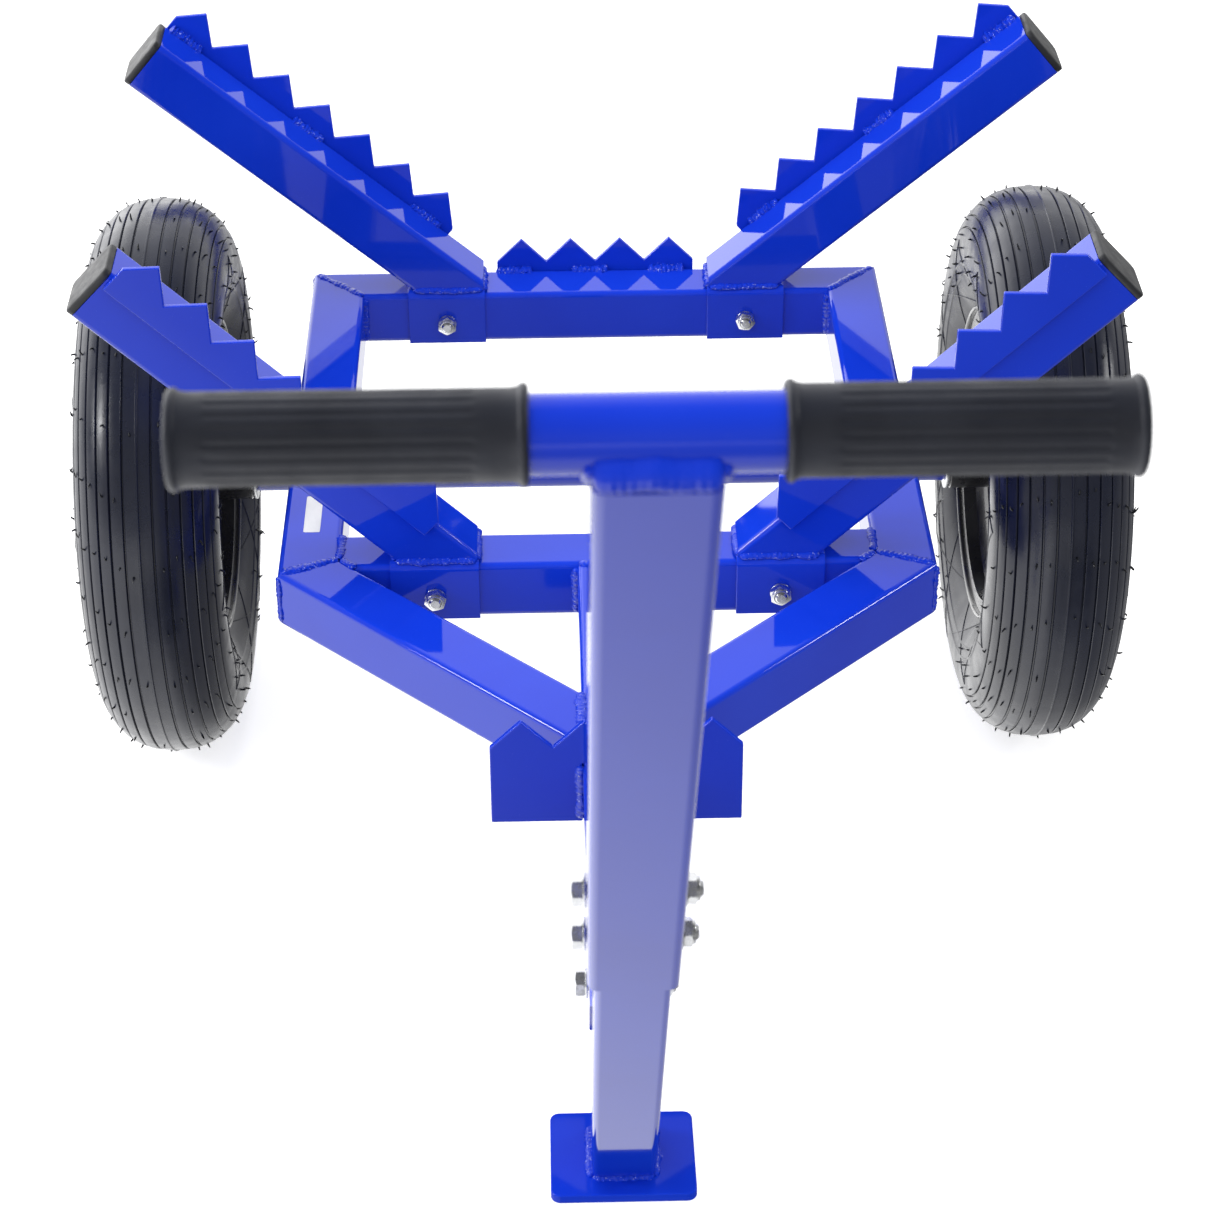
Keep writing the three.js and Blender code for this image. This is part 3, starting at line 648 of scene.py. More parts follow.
def add_label():
    """A small blank label on the left rail."""
    (x, y), (half_x, half_y) = LABEL_MIDDLE, LABEL_HALF
    rings = []
    for grow, z in ((0.0, 0.02), (0.0, 0.24), (-0.25, 0.34)):
        outline = rounded_rectangle(half_x + grow, half_y + grow, LABEL_RADIUS + grow, 4)
        rings.append([Vector((x + u, y + v, FRAME_TOP + z)) for u, v in outline])
    put("blank_label", Shape().add(*loft(rings)), CHASSIS, LABEL)


# ---- Handle ----


T_BAR_BORE = 11.5


def add_t_bar():
    end = [(T_BAR_RADIUS, T_BAR_HALF - 0.5), (T_BAR_RADIUS - 0.5, T_BAR_HALF)]
    end.append((T_BAR_BORE, T_BAR_HALF))
    shape = spun(flipped(end) + end, 96)
    put("t_bar_painted", shape, MEMBER @ shift(0, 0, T_BAR_STATION), PAINT, replaced=["t_bar"])


GRIP_RADIUS = 16
GRIP_RIM = 17.5
GRIP_BORE = 14.15
FLUTES = 20
FLUTE_DEPTH = 0.5
FLUTE_HALF = 0.85
FLUTED = (17, 108)  # stations between which the flutes run


def smooth(value, low, high):
    share = min(max((value - low) / (high - low), 0), 1)
    return share * share * (3 - 2 * share)


def grip_ring(radius, x, flute):
    sides = FLUTES * 12
    ring = []
    for k in range(sides):
        angle = TURN * k / sides
        off = abs((k / 12 + 0.5) % 1.0 - 0.5) * TURN * GRIP_RADIUS / FLUTES
        local = radius - flute * FLUTE_DEPTH * math.exp(-((off / FLUTE_HALF) ** 2))
        ring.append(around(x, local, angle))
    return ring


def add_grip(name, side):
    """A pushed-on sleeve: a rolled rim at each end, smooth collars and lengthwise flutes between."""
    outer = [(GRIP_BORE, 0.6), (GRIP_BORE + 0.6, 0)]
    outer += arc(GRIP_RIM - 1.9, 1.9, 1.9, -90, 62, 8)
    outer += [(GRIP_RADIUS + 0.25, 4.6), (GRIP_RADIUS, 6.0), (GRIP_RADIUS, 11.5)]
    low, high = FLUTED
    outer += [(GRIP_RADIUS, low + step) for step in (0, 0.8, 1.6, 2.4)]
    outer += [(GRIP_RADIUS, low + (high - low) * step / 12) for step in range(1, 12)]
    outer += [(GRIP_RADIUS, high - step) for step in (2.4, 1.6, 0.8, 0)]
    outer += [(GRIP_RADIUS, GRIP_LENGTH - 7), (GRIP_RADIUS + 0.25, GRIP_LENGTH - 5)]
    outer += arc(GRIP_RIM - 2.1, GRIP_LENGTH - 2.1, 2.1, -58, 90, 8)
    for share in (0.75, 0.45, 0.15):
        outer.append((GRIP_RIM * share, GRIP_LENGTH + 0.7 * (1 - share ** 2) - 0.15))
    rings = []
    for radius, x in outer:
        flute = smooth(x, low, low + 2.4) * (1 - smooth(x, high - 2.4, high))
        rings.append(grip_ring(radius, x, flute))
    rings.append(grip_ring(0.05, GRIP_LENGTH + 0.55, 0))
    inside = [(0.05, GRIP_LENGTH - 3.5), (GRIP_BORE, GRIP_LENGTH - 3.5)]
    rings += [grip_ring(radius, x, 0) for radius, x in inside]
    place = MEMBER @ shift(side * GRIP_START, 0, T_BAR_STATION) @ facing_out(side)
    shape = Shape().add(*loft(rings, closed=True))
    put(name + "_moulded", shape, place, GRIP, replaced=[name])


# ---- Weld beads ----

WELD_STEP = 0.8
WELD_PITCH = 3.3
WELD_SIDES = 12


def resample(path):
    points = [Vector(point) for point in path]
    spaced = [points[0]]
    for start, stop in zip(points, points[1:]):
        steps = max(int((stop - start).length / WELD_STEP), 1)
        spaced += [start.lerp(stop, (step + 1) / steps) for step in range(steps)]
    return spaced


def bead(path, half_width, half_height, up, seed, ripple=0.16, lumps=0.4):
    """A weld bead: an oval swept along a path, with crescent ripples, lumps and run-out ends."""
    points = resample(path)
    up = Vector(up)
    offset = Vector((seed * 17.3, seed * 5.1, seed * 9.7))
    rings = []
    travelled = 0.0
    total = len(points) - 1
    for k, point in enumerate(points):
        tangent = (points[min(k + 1, total)] - points[max(k - 1, 0)]).normalized()
        side = tangent.cross(up).normalized()
        top = side.cross(tangent)
        if k:
            travelled += (point - points[k - 1]).length
        ends = 2 * k / total - 1
        size = max(1 - ends ** 16, 0.06) ** 0.5
        swell = 1 + 0.9 * lumps * noise.noise(point * 0.11 + offset)
        wander = side * (half_width * 0.22 * noise.noise(point * 0.09 - offset))
        ring = []
        for j in range(WELD_SIDES):
            angle = TURN * j / WELD_SIDES
            across = math.cos(angle)
            phase = travelled / WELD_PITCH - 0.35 * across * across
            height = 1 + ripple * math.cos(TURN * phase)
            section = side * (across * half_width)
            section += top * (math.sin(angle) * half_height * height)
            rough = 1 + lumps * noise.noise(point * 0.7 + section * 0.5 + offset)
            ring.append(point + wander + section * (size * swell * rough))
        rings.append(ring)
    return loft(rings)


def mirrored(path, side):
    return [(side * x, y, z) for x, y, z in path]


def weld(name, beads, matrix=CHASSIS, finish=WELD_PAINT):
    """beads are (path, half width, half height, up) with an optional ripple and lump size."""
    shape = Shape()
    for index, (path, half_width, half_height, up, *texture) in enumerate(beads):
        shape.add(*bead(path, half_width, half_height, up, index + len(name), *texture))
    put(name, shape, matrix, finish, sharp=60)


UP = (0, 0, 1)
DOWN = (0, 0, -1)
ACROSS = (-19, 19)  # a bead over the flat of a tube


def upright(x, y, inset=3):
    return [(x, y, FRAME_BOTTOM + inset), (x, y, FRAME_TOP - inset)]


def rear_corner_beads(side):
    w, l, r = HALF_WIDTH, HALF_LENGTH, RAIL_INNER
    top = [(w - 2.2, l - 2.2, FRAME_TOP - 1.3), (w - 5, l - 5, FRAME_TOP)]
    top.append((r + 1, l - 39, FRAME_TOP))
    bottom = [(w - 3, l - 3, FRAME_BOTTOM), (r + 1, l - 39, FRAME_BOTTOM)]
    return [
        (mirrored(top, side), 3.0, 1.5, UP),
        (mirrored(bottom, side), 3.0, 1.4, DOWN),
        (upright(side * (w - 1), l - 1), 2.6, 1.8, (side, 1, 0)),
        (upright(side * (r - 0.6), l - TUBE - 0.6), 2.8, 2.0, (-side, -1, 0)),
    ]


def front_corner_beads(side):
    w, l, r = HALF_WIDTH, HALF_LENGTH, RAIL_INNER
    mitre = 1.8 - l
    top = [(w - 2, mitre - 8, FRAME_TOP - 1.2), (w - 5, mitre - 6.5, FRAME_TOP)]
    top.append((r + 1, mitre + 8, FRAME_TOP))
    bottom = [(w - 3, mitre - 7.5, FRAME_BOTTOM), (r + 1, mitre + 8, FRAME_BOTTOM)]
    along_rail = [(r, mitre + 9, FRAME_TOP), (r, TUBE - 1 - l, FRAME_TOP)]
    over_brace = [(r - 0.5, mitre + 7.5, FRAME_TOP), (r - 10, -l - 0.5, FRAME_TOP)]
    return [
        (mirrored(top, side), 3.1, 1.6, UP),
        (mirrored(bottom, side), 3.0, 1.4, DOWN),
        (upright(side * (w - 0.6), mitre - 8.1), 2.8, 1.7, (side, -0.4, 0)),
        (mirrored(along_rail, side), 2.7, 1.5, UP),
        (upright(side * (r - 0.7), TUBE + 0.7 - l), 2.7, 2.0, (-side, 1, 0)),
        (mirrored(over_brace, side), 2.8, 1.5, UP),
        (upright(side * (r - 11.5), -l - 1), 3.0, 2.2, (-side * 0.4, -1, 0)),
    ]


def brace_beads(side):
    low, high = BRACE_MEETS_TONGUE
    flush = TUBE / 2 + 0.2
    proud = side * (TUBE / 2 + 1)
    top = [(flush, low + 2, FRAME_TOP), (flush, high - 2, FRAME_TOP)]
    bottom = [(flush, low + 2, FRAME_BOTTOM), (flush, high - 2, FRAME_BOTTOM)]
    return [
        (mirrored(top, side), 3.2, 1.4, UP),
        (mirrored(bottom, side), 3.0, 1.3, DOWN),
        (upright(proud, high + 1.2), 2.8, 2.0, (side, 0.5, 0)),
        (upright(proud, low - 1.2), 2.8, 2.0, (side, -0.5, 0)),
        (upright(proud, -HALF_LENGTH - 1), 2.9, 2.1, (side, -1, 0)),
    ]


def axle_beads(side):
    beads = []
    for fore in (-1, 1):
        path = [(x, fore * 7.5, FRAME_BOTTOM - 1.6) for x in (RAIL_INNER + 2, HALF_WIDTH - 2)]
        beads.append((mirrored(path, side), 3.6, 2.6, (0, fore, -0.4)))
    return beads


def add_frame_welds():
    for side, word in ((-1, "left"), (1, "right")):
        weld(f"{word}_rear_corner_weld", rear_corner_beads(side))
        weld(f"{word}_front_corner_weld", front_corner_beads(side))
        weld(f"{word}_brace_weld", brace_beads(side))
        weld(f"{word}_axle_weld", axle_beads(side))
    y = -HALF_LENGTH - 0.2
    top = [(x, y, FRAME_TOP) for x in ACROSS]
    bottom = [(x, y, FRAME_BOTTOM) for x in ACROSS]
    weld("tongue_weld", [(top, 3.0, 1.5, UP), (bottom, 2.8, 1.3, DOWN)])


TACK_HALF = 14
TACK_INSET = 2.4  # from the strip to the middle of a tack
REAR_TACKS = (-62, -4, 54)
ARM_TACKS = (20, 131, 243)


def tacks(stations, y, top, facing, half_height):
    """Short beads where a tooth strip lies against a tube."""
    beads = []
    for x in stations:
        path = [(x - TACK_HALF, y, top - 0.2), (x + TACK_HALF, y, top - 0.2)]
        beads.append((path, 4.2, half_height, (0, -0.6 * facing, 1), 0.2, 0.6))
    return beads


def front_plate_beads():
    front, rear = FRONT_PLATE
    faces = ((front, -1, 3.4, 2.4), (rear, 1, 3.0, 2.2))
    beads = []
    for side in (-1, 1):
        for y, fore, half_width, half_height in faces:
            path = upright(side * (TUBE / 2 + 1.8), y + fore * 0.4, inset=1)
            beads.append((path, half_width, half_height, (side, fore, 0)))
    for y, fore, *_ in faces:
        path = [(x, y + fore * 0.8, FRAME_TOP + 0.6) for x in ACROSS]
        beads.append((path, 2.6, 2.2, (0, fore, 1)))
    return beads


def add_plate_welds():
    weld("front_plate_weld", front_plate_beads())
    weld("rear_plate_weld", tacks(REAR_TACKS, HALF_LENGTH - TACK_INSET, FRAME_TOP, 1, 2.8))
    for name, (side, end) in ARMS.items():
        facing = side * end
        beads = tacks(ARM_TACKS, facing * (PLATE_INNER - TACK_INSET), TUBE, facing, 3.0)
        weld(f"{name}_plate_weld", beads, arm_matrix(side, end))


def add_saddle_welds():
    z = SADDLE_TOP + 0.5
    for name, (side, end) in ARMS.items():
        middle = end * CROSSBAR_Y
        beads = []
        for face in (-1, 1):
            y = middle + face * (TUBE / 2 + 0.2)
            path = mirrored([(ARM_TOE_X + 1, y, z), (ARM_FOOT_X - 1, y, z)], side)
            beads.append((path, 2.5, 1.9, (0, face, 1), 0.1, 0.4))
        for x, outwards in ((ARM_TOE_X - 0.4, -side), (ARM_FOOT_X + 0.4, side)):
            path = [(side * x, middle + y, z) for y in (-18, 18)]
            beads.append((path, 2.6, 1.9, (outwards, 0, 1), 0.1, 0.45))
        weld(f"{name}_saddle_weld", beads)


def add_foot_weld():
    """Round the leg's foot on the plate, in level axes."""
    z = foot_high.z / MM + 0.4
    half_x = TUBE / 2 - 0.8
    half_y = half_x / math.sin(LEG_ANGLE)
    y = (foot_low.y + foot_high.y) / 2 / MM
    beads = []
    for side in (-1, 1):
        path = [(side * half_x, y - half_y + 1, z), (side * half_x, y + half_y - 1, z)]
        beads.append((path, 3.4, 2.8, (side, 0, 1), 0.16, 0.35))
        path = [(-half_x + 1, y + side * half_y, z), (half_x - 1, y + side * half_y, z)]
        beads.append((path, 3.4, 2.6, (0, side, 1), 0.1, 0.4))
    weld("foot_plate_weld", beads, Matrix.Identity(4))


FILLET_RADIUS = 14.2  # of the side beads, about the bar
FILLET_ARC = (-64, 58)
FRONT_BEAD = (-12.0, -8.1)  # from the bar's middle, on the bevel between bar and post
BEVEL = (0, -0.809, -0.588)
REAR_BEAD_Y = 11.6


def add_handle_weld():
    """Between the T-bar and the level top of the post, in level axes about the bar."""
    half = POST_TUBE / 2
    rear_z = 1.5 - T_BAR_RADIUS
    start, stop = FILLET_ARC
    beads = [
        ([(x, *FRONT_BEAD) for x in (-half, half)], 5.6, 8.1, BEVEL, 0.02, 0.05),
        ([(x, REAR_BEAD_Y, rear_z) for x in (-half, half)], 4.2, 2.8, (0, 1, 0.7), 0.05, 0.2),
    ]
    for side in (-1, 1):
        path = []
        for step in range(9):
            angle = math.radians(start + (stop - start) * step / 8)
            out = FILLET_RADIUS * math.sin(angle)
            path.append((side * half, out, -FILLET_RADIUS * math.cos(angle)))
        beads.append((path, 3.0, 2.9, (side, 0, 0), 0.05, 0.2))
    bar = MEMBER @ Vector((0, 0, T_BAR_STATION * MM))
    weld("t_bar_weld", beads, Matrix.Translation(bar), PAINT)


# ---- Wheels ----

WHEEL_PLANE = 307
TYRE_RADIUS = axle_z / MM
TYRE_HALF = 48
CROWN_RISE = 46
TYRE_SHAPE = 0.86
TYRE_SIDES = 160
RIM_HALF = 32
BEAD_RADIUS = 102
FLANGE_TOP = 113
BAND = 9.5  # from groove to groove across the tread
GROOVES = 6  # each side of the middle
GROOVE_DEPTH = 1.7
GROOVE_HALF = ((0.42, 1.0), (0.62, 0.3), (1.0, 0.0))
GROOVE_PROFILE = [(-x, depth) for x, depth in reversed(GROOVE_HALF)] + [(0.0, 1.0), *GROOVE_HALF]
SIDE_RIBS = ((84, 0.7), (92, 0.5), (121, 0.8))  # distance from the crown, and height
SECTION_SWEEP = 150  # degrees from the crown past the widest point to the bead
SECTION_STEPS = 1440
VENTS = 10  # crossed pairs of fine lines on each sidewall
VENT_START = 66
VENT_RUN = 50
VENT_SLANT = math.radians(34)
WHISKER_ROWS = 26
WHISKER_SHAPE = ((-0.15, 0.8), (0.0, 0.75), (0.5, 0.62), (1.0, 0.4))  # share of height, radius
FOOTPRINT = math.radians(14)  # half the turn without whiskers, on the ground


def section_point(angle, inset=0.0):
    """[radius, station] on the tyre's outer curve, 90 degrees at the crown."""
    rise = CROWN_RISE - inset
    half = (TYRE_HALF - inset) * math.copysign(abs(math.cos(angle)) ** TYRE_SHAPE, math.cos(angle))
    return Vector((TYRE_RADIUS - CROWN_RISE + rise * math.sin(angle), half))


def section_table(inset=0.0):
    """The outer curve from the crown to the bead with its running length."""
    rows = []
    length = 0.0
    last = section_point(math.pi / 2, inset)
    for step in range(SECTION_STEPS + 1):
        angle = math.pi / 2 - math.radians(SECTION_SWEEP) * step / SECTION_STEPS
        point = section_point(angle, inset)
        length += (point - last).length
        rows.append((length, point))
        last = point
    return rows


SECTION = section_table()


def on_section(length):
    """Point and outward normal at a distance from the crown along the curve."""
    distance = abs(length)
    low, high = 0, len(SECTION) - 1
    while high - low > 1:
        index = (low + high) // 2
        if SECTION[index][0] < distance:
            low = index
        else:
            high = index
    span = max(SECTION[high][0] - SECTION[low][0], 1e-6)
    share = (distance - SECTION[low][0]) / span
    point = SECTION[low][1].lerp(SECTION[high][1], share)
    ahead = SECTION[min(high + 6, len(SECTION) - 1)][1]
    along = (ahead - SECTION[max(low - 6, 0)][1]).normalized()
    normal = Vector((along.y, -along.x))
    if distance < 0.3:
        normal = Vector((1, 0))
    if length < 0:
        point = Vector((point.x, -point.y))
        normal = Vector((normal.x, -normal.y))
    return point, normal


def tyre_outline():
    """Half the tread and one sidewall, from the crown to the bead, as (distance, height) stations."""
    stations = [(0.0, 0.95), (0.5, 0.85), (0.95, 0.05), (1.4, 0.0), (4.5, 0.0)]
    for groove in range(1, GROOVES + 1):
        for offset, depth in GROOVE_PROFILE:
            stations.append((groove * BAND + offset, -depth * GROOVE_DEPTH))
        stations += [(groove * BAND + 3.2, 0.16), (groove * BAND + 6.2, 0.16)]
    last = GROOVES * BAND + 10
    ends = SECTION[-1][0]
    while last < ends - 2:
        stations.append((last, 0.0))
        last += 4
    for distance, height in SIDE_RIBS:
        stations = [row for row in stations if abs(row[0] - distance) > 2]
        stations += [(distance - 1.1, 0.0), (distance - 0.4, height)]
        stations += [(distance + 0.4, height), (distance + 1.1, 0.0)]
    stations.sort()
    half = []
    for distance, height in stations:
        point, normal = on_section(distance)
        point = point + normal * height
        if point.x < BEAD_RADIUS + 10:
            break
        half.append((point.x, point.y))
    return half


def add_tyre(name, side, generator):
    """Ribbed tread with a mould line, sidewall ribs and vent lines, and a hollow inside."""
    half = tyre_outline()
    bead_x = RIM_HALF - 0.7
    half += [(FLANGE_TOP + 1.2, bead_x), (BEAD_RADIUS + 0.7, bead_x - 1)]
    half += [(BEAD_RADIUS + 0.7, bead_x - 9)]
    inside = [(BEAD_RADIUS + 7, bead_x - 9)]
    for step in range(13):
        point = section_point(math.radians(-52 + 142 * step / 12), 5)
        if point.x > BEAD_RADIUS + 8:
            inside.append((point.x, point.y))
    loop = half + inside[:-1] + [(inside[-1][0], 0.0)]
    loop += flipped(inside[:-1]) + flipped(half[1:])
    place = wheel_matrix(side) @ shift(WHEEL_PLANE, 0, 0)
    shape = spun(loop, TYRE_SIDES)
    for flank in (-1, 1):
        for line in range(VENTS):
            start = TURN * (line + 0.25 * flank) / VENTS
            for slant in (-1, 1):
                path = []
                for step in range(15):
                    share = step / 14
                    point, normal = on_section(flank * (VENT_START + VENT_RUN * share))
                    point = point + normal * 0.1
                    angle = start + slant * VENT_SLANT * share ** 1.4
                    path.append(around(point.y, point.x, angle))
                shape.add(*tube_along(path, [0.42] * len(path), 6))
    put(f"{name}_tyre_moulded", shape, place, TYRE, f"{name}_wheel", [f"{name}_tyre"], 24)
    add_whiskers(name, place, generator)


def add_whiskers(name, place, generator):
    """Moulding whiskers between the grooves, with some worn off and none on the ground."""
    whiskers = Shape()
    for row in range(WHISKER_ROWS):
        for band in range(-GROOVES - 3, GROOVES + 4):
            if generator.random() < 0.25:
                continue
            angle = TURN * (row + 0.5) / WHISKER_ROWS + generator.uniform(-0.02, 0.02)
            angle += 0.02 * abs(band)
            if abs(angle - TURN * 0.75) < FOOTPRINT:
                continue
            middle = (band + 0.5 * math.copysign(1, band or 1)) * BAND
            point, normal = on_section(middle + generator.uniform(-1.2, 1.2))
            lean = generator.choice((-1, 1)) * generator.uniform(1.2, 3.4)
            tall = generator.uniform(1.2, 3.4)
            path = []
            for share, _ in WHISKER_SHAPE:
                here = point + normal * (tall * share ** 0.6 if share > 0 else share * 4)
                turn = angle + lean * max(share, 0) ** 1.3 / here.x
                path.append(around(here.y, here.x, turn))
            whiskers.add(*tube_along(path, [radius for _, radius in WHISKER_SHAPE], 6))
    put(f"{name}_tyre_whiskers", whiskers, place, WHISKER, f"{name}_wheel", sharp=60)


RIM_WALL = 2.4
FLANGE_ROLL = 1.6  # radius of the rolled edge
WELL_OUT = 84
WELL_IN = WELL_OUT - RIM_WALL
WEB_OUT = 80.0
WEB_IN = 21.5
WEB_DISH = 5.5
WEB_HALF = 1.6
COLLAR_HALF = 3.5


def flange_outline():
    """[radius, x] points of one side: rolled flange, bead seat and slope to the drop centre."""
    inside = BEAD_RADIUS - RIM_WALL
    outer = [(inside, 30.5), (inside, 33.2), (FLANGE_TOP - 3, 34.2)]
    outer += arc(FLANGE_TOP - FLANGE_ROLL, 35.4, FLANGE_ROLL, -40, 210, 8)[::-1]
    outer += [(FLANGE_TOP - 3.2, 32.0), (BEAD_RADIUS + 1.5, 32.0), (BEAD_RADIUS, 30.6)]
    outer += [(BEAD_RADIUS, 24.5), (WELL_OUT + 0.8, 18.5), (WELL_OUT, 16.5)]
    return outer


def add_rim(name, side):
    """A pressed rim with a drop centre, and a web dished outwards to the hub."""
    flange = flange_outline()
    inner_wall = [flange[0], (99.6, 24.0), (WELL_IN + 0.8, 17.6), (WELL_IN, 15.5), (WELL_IN, 4.5)]
    web = []
    span = WEB_OUT - WEB_IN
    stations = 14
    for step in range(stations + 1):
        radius = WEB_OUT - span * step / stations
        web.append((radius, WEB_DISH * math.sin(math.pi * (WEB_OUT - radius) / span) ** 2))
    collar = [(20.0, -COLLAR_HALF), (18.4, -COLLAR_HALF), (18.4, COLLAR_HALF), (20.0, COLLAR_HALF)]
    loop = flange[3:] + flipped(flange[1:])
    loop += [(radius, -x) for radius, x in inner_wall]
    loop += [(radius, x - WEB_HALF) for radius, x in web] + collar
    loop += [(radius, x + WEB_HALF) for radius, x in reversed(web)]
    loop += inner_wall[::-1] + flange[1:3]
    place = wheel_matrix(side) @ shift(WHEEL_PLANE, 0, 0)
    shape = spun(loop, 128)
    put(f"{name}_rim_pressed", shape, place, BLACK, f"{name}_wheel", [f"{name}_rim"], 30)

    stem = [(5.2, -2), (5.2, 1.5), (3.9, 3.5), (3.7, 16), (3.2, 17), (3.2, 18), (3.9, 18.4)]
    valve = spun(stem + [(3.9, 26), (3.2, 27)], 28, closed=False)
    foot = shift(10, 0, 0) @ about("X", math.radians(35)) @ shift(0, 82, 0)
    aim = foot @ about("Z", math.radians(-68))
    put(f"{name}_valve_stem", valve, place @ aim, PLASTIC, f"{name}_wheel", sharp=40)


HUB_X = (250, 350)
HUB_RADIUS = 18
BEARING_SEAT = 16.05
BEARING_HALF = 3.5


def add_hub(name, side):
    inner, outer = HUB_X
    seat, edge = BEARING_SEAT, HUB_RADIUS
    loop = [(seat, inner + 0.5), (seat + 0.5, inner), (edge - 0.6, inner), (edge, inner + 0.6)]
    loop += [(edge, outer - 0.6), (edge - 0.6, outer), (seat + 0.5, outer), (seat, outer - 0.5)]
    loop += [(seat, outer - 7.2), (14, outer - 7.2), (14, inner + 7.2), (seat, inner + 7.2)]
    body = f"{name}_wheel"
    place = wheel_matrix(side)
    put(f"{name}_hub_painted", spun(loop, 72), place, BLACK, body, [f"{name}_hub"])
    for word, x in (("inner", inner + 3.55), ("outer", outer - 3.55)):
        ring = spun(bearing_outline(), 72)
        node = f"{name}_{word}_bearing"
        put(f"{node}_ground", ring, place @ shift(x, 0, 0), STEEL, body, [node])
    washer = spun(rounded_disc(HUB_RADIUS, 246.3, 249.4, 0.5, 10.3), 56)
    put(f"{name}_inner_washer_zinc", washer, place, ZINC, replaced=[f"{name}_inner_washer"])
    nut = Shape().add(*hexagon(24, 350.8, 363.8, 8.2))
    turn = about("X", math.radians(13 if side > 0 else 32))
    put(f"{name}_axle_nut_zinc", nut, place @ turn, ZINC, replaced=[f"{name}_axle_nut"])


def bearing_outline():
    """Inner race, recessed shield and outer race."""
    side, shield = BEARING_HALF, BEARING_HALF - 0.5
    half = [(16.0, shield), (15.6, side), (14.4, side), (14.3, shield)]
    half += [(12.5, shield), (12.4, side), (10.6, side), (10.2, 3.1)]
    return half + flipped(half)


def add_wheels():
    for name, side in (("left", -1), ("right", 1)):
        add_tyre(name, side, random.Random(7 + side))
        add_rim(name, side)
        add_hub(name, side)


# ---- Stage, light and camera ----


class Studio(Tree):
    """Strengths that depend on the way a mirror ray travels, for the floor and the world."""

    def __init__(self, tree, direction):
        super().__init__(tree)
        self.direction = direction

    def lobe(self, towards, start, stop, low, high):
        """From low to high as the ray's cosine to a direction goes from start to stop."""
        dot = self.new("VectorMath")
        dot.operation = "DOT_PRODUCT"
        dot.inputs[1].default_value = Vector(towards).normalized()
        self.link(self.direction, dot.inputs[0])
        shade = self.new("MapRange", From_Min=start, From_Max=stop, To_Min=low, To_Max=high,
                         Value=dot.outputs["Value"])
        shade.interpolation_type = "SMOOTHSTEP"
        return shade.outputs["Result"]

    def product(self, first, second):
        node = self.new("Math")
        node.operation = "MULTIPLY"
        self.link(first, node.inputs[0])
        self.link(second, node.inputs[1])
        return node.outputs["Value"]

    def choose(self, ray, otherwise, chosen):
        """Shader for one kind of ray, and another for the rest."""
        mix = self.new("MixShader", Fac=self.new("LightPath").outputs[ray])
        self.link(otherwise, mix.inputs[1])
        self.link(chosen, mix.inputs[2])
        return mix.outputs["Shader"]


DARK_SIDE = (0.25, -0.85, -0.46)  # the dim end of the studio, seen in upright front faces
FLOOR_REACH = 14


def add_floor():
    nodes = Nodes("studio_floor")
    shade = nodes.spread(nodes.noise(0.8), 0.0, 1.0)
    colour = nodes.blend(shade, (0.9, 0.9, 0.9), (0.91, 0.91, 0.91))
    nodes.link(colour, nodes.surface.inputs["Base Color"])
    nodes.set(Roughness=0.9, Specular_IOR_Level=0.1, Emission_Strength=0.68)
    nodes.surface.inputs["Emission Color"].default_value = (1, 1, 1, 1)
    back = nodes.new("VectorMath")
    back.operation = "SCALE"
    back.inputs["Scale"].default_value = -1
    nodes.link(nodes.new("NewGeometry").outputs["Incoming"], back.inputs[0])
    studio = Studio(nodes.tree, back.outputs["Vector"])
    to_left = studio.lobe((-1, 0, 0), -0.5, 0.35, 0.35, 1.8)
    dim = studio.lobe(DARK_SIDE, 0.86, 0.98, 1.0, 0.26)
    mirrored_floor = nodes.new("Emission", Strength=studio.product(to_left, dim))
    soft_floor = nodes.new("Emission", Strength=0.45)
    seen = nodes.surface.outputs["BSDF"]
    seen = studio.choose("Is Diffuse Ray", seen, soft_floor.outputs["Emission"])
    seen = studio.choose("Is Glossy Ray", seen, mirrored_floor.outputs["Emission"])
    nodes.link(seen, nodes.tree.nodes["Material Output"].inputs["Surface"])
    mesh = bpy.data.meshes.new("floor")
    corners = ((-1, -1), (1, -1), (1, 1), (-1, 1))
    mesh.from_pydata([(FLOOR_REACH * x, FLOOR_REACH * y, 0) for x, y in corners], [], [(0, 1, 2, 3)])
    mesh.materials.append(nodes.material)
    floor = bpy.data.objects.new("floor", mesh)
    bpy.context.scene.collection.objects.link(floor)


def add_world():
    """White to the camera. Soft light is even, and mirror rays see it bright behind."""
    world = bpy.data.worlds.new("studio")
    bpy.context.scene.world = world
    world.use_nodes = True
    tree = world.node_tree
    tree.nodes.clear()
    studio = Studio(tree, Tree(tree).new("TexCoord").outputs["Generated"])
    seen = studio.new("Background", Color=(1, 1, 1, 1))
    from_left = studio.lobe((-1, 0, 0), -0.8, 0.8, 0.75, 1.25)
    from_front = studio.lobe((0, -1, 0.2), 0.2, 0.9, 0.9, 1.6)
    soft = studio.new("Background", Strength=studio.product(from_left, from_front))
    behind = studio.lobe((0, 1, 0), 0.0, 0.8, 0.15, 1.0)
    low_down = studio.lobe((0, 0, 1), 0.15, 0.8, 2.5, 1.3)
    to_left = studio.lobe((-1, 0, 0), -0.6, 0.6, 0.5, 1.5)
    strength = studio.product(studio.product(behind, low_down), to_left)
    mirrored_world = studio.new("Background", Strength=strength)
    surface = soft.outputs["Background"]
    surface = studio.choose("Is Glossy Ray", surface, mirrored_world.outputs["Background"])
    surface = studio.choose("Is Camera Ray", surface, seen.outputs["Background"])
    studio.new("OutputWorld", Surface=surface)


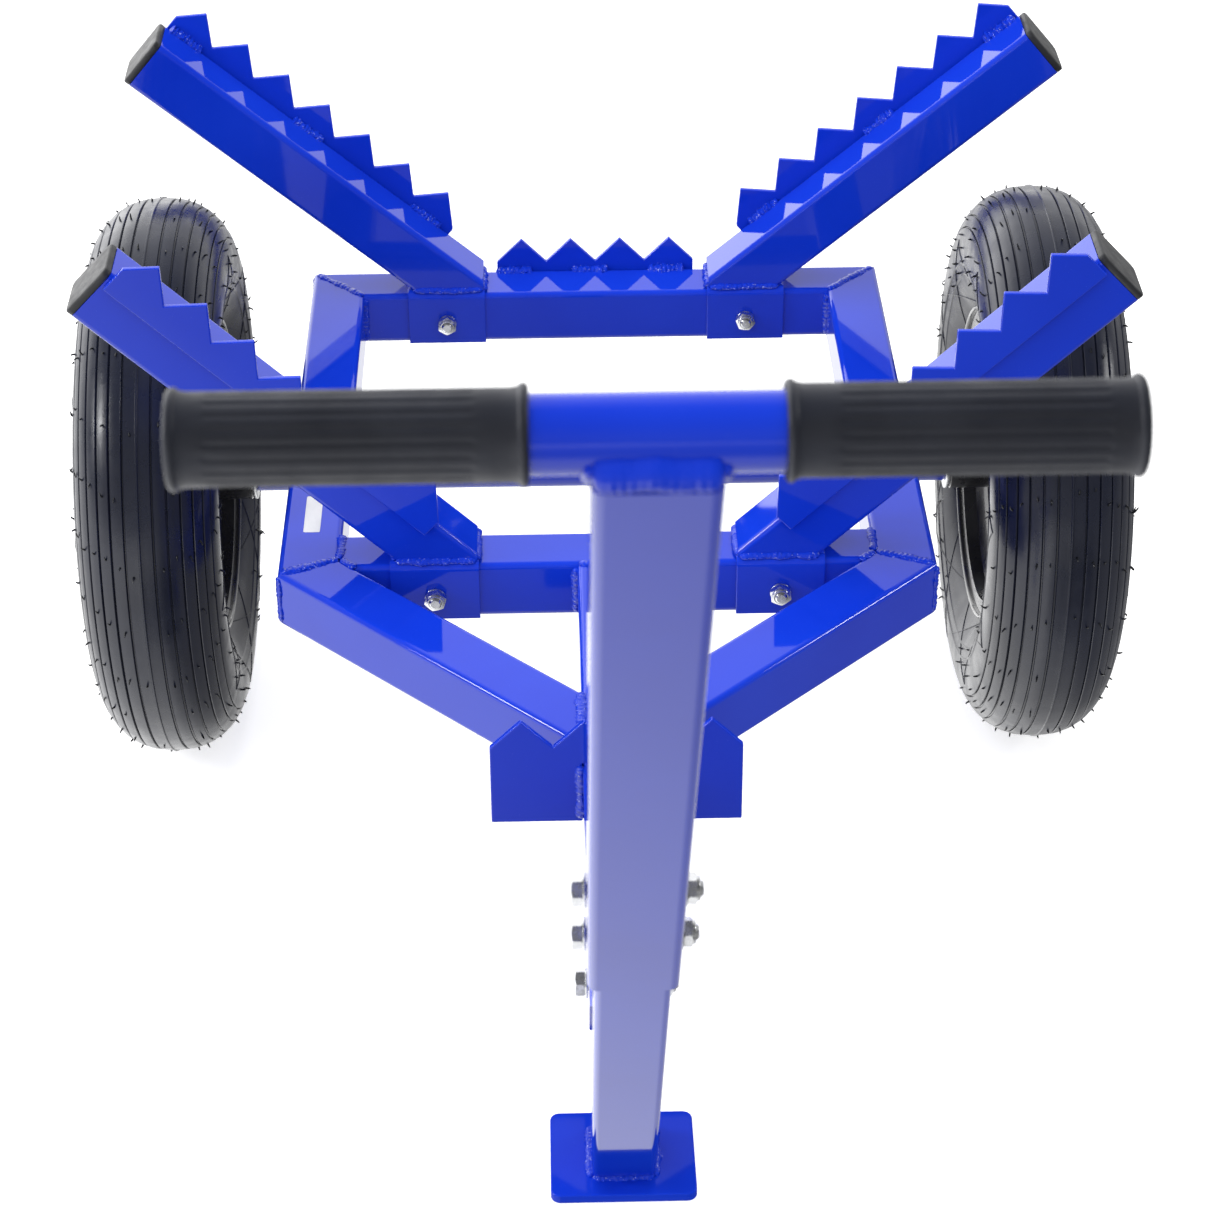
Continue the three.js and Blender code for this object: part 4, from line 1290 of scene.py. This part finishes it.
def add_light(name, location, aim, size, watts):
    data = bpy.data.lights.new(name, "AREA")
    data.shape = "RECTANGLE"
    data.size, data.size_y = size
    data.energy = watts
    lamp = bpy.data.objects.new(name, data)
    lamp.location = location
    lamp.rotation_euler = (Vector(aim) - Vector(location)).to_track_quat("-Z", "Y").to_euler()
    bpy.context.scene.collection.objects.link(lamp)
    lamp.visible_camera = False
    return lamp


def add_lights():
    middle = (0, axle_y - 0.2, 0.2)
    overhead = add_light("overhead", (-0.3, axle_y, 2.6), middle, (2.2, 2.2), 30)
    overhead.visible_glossy = False
    add_light("left_side", (-2.6, axle_y - 0.8, 1.5), middle, (0.6, 0.6), 22)
    add_light("right_side", (2.6, axle_y - 0.2, 1.4), middle, (0.4, 0.4), 10)


CAMERA_FROM_AXLE = Vector((-0.0348, -1.9881, 0.9779))  # metres
CAMERA_YAW = math.radians(1.10)
CAMERA_PITCH = math.radians(28.77)
CAMERA_ROLL = math.radians(-0.41)
CAMERA_LENS = 91.32
APERTURE = 22


def add_camera():
    data = bpy.data.cameras.new("camera")
    data.lens = CAMERA_LENS
    data.sensor_width = 36
    data.clip_start = 0.05
    data.clip_end = 100
    camera = bpy.data.objects.new("camera", data)
    turn = about("Z", -CAMERA_YAW) @ about("X", math.pi / 2 - CAMERA_PITCH)
    turn = turn @ about("Z", CAMERA_ROLL)
    axle = Vector((0, axle_y, axle_z))
    camera.matrix_world = Matrix.Translation(axle + CAMERA_FROM_AXLE) @ turn
    bpy.context.scene.collection.objects.link(camera)
    focus = bpy.data.objects.new("focus", None)
    focus.location = CHASSIS @ Vector((0, -CROSSBAR_Y * MM, FRAME_TOP * MM))
    bpy.context.scene.collection.objects.link(focus)
    data.dof.use_dof = True
    data.dof.focus_object = focus
    data.dof.aperture_fstop = APERTURE
    bpy.context.scene.camera = camera


add_frame()
add_axle()
add_fasteners()
add_end_caps()
add_label()
add_t_bar()
add_grip("left_grip", -1)
add_grip("right_grip", 1)
add_frame_welds()
add_plate_welds()
add_saddle_welds()
add_foot_weld()
add_handle_weld()
add_wheels()
add_floor()
add_world()
add_lights()
add_camera()
bpy.context.scene.view_settings.view_transform = "Standard"
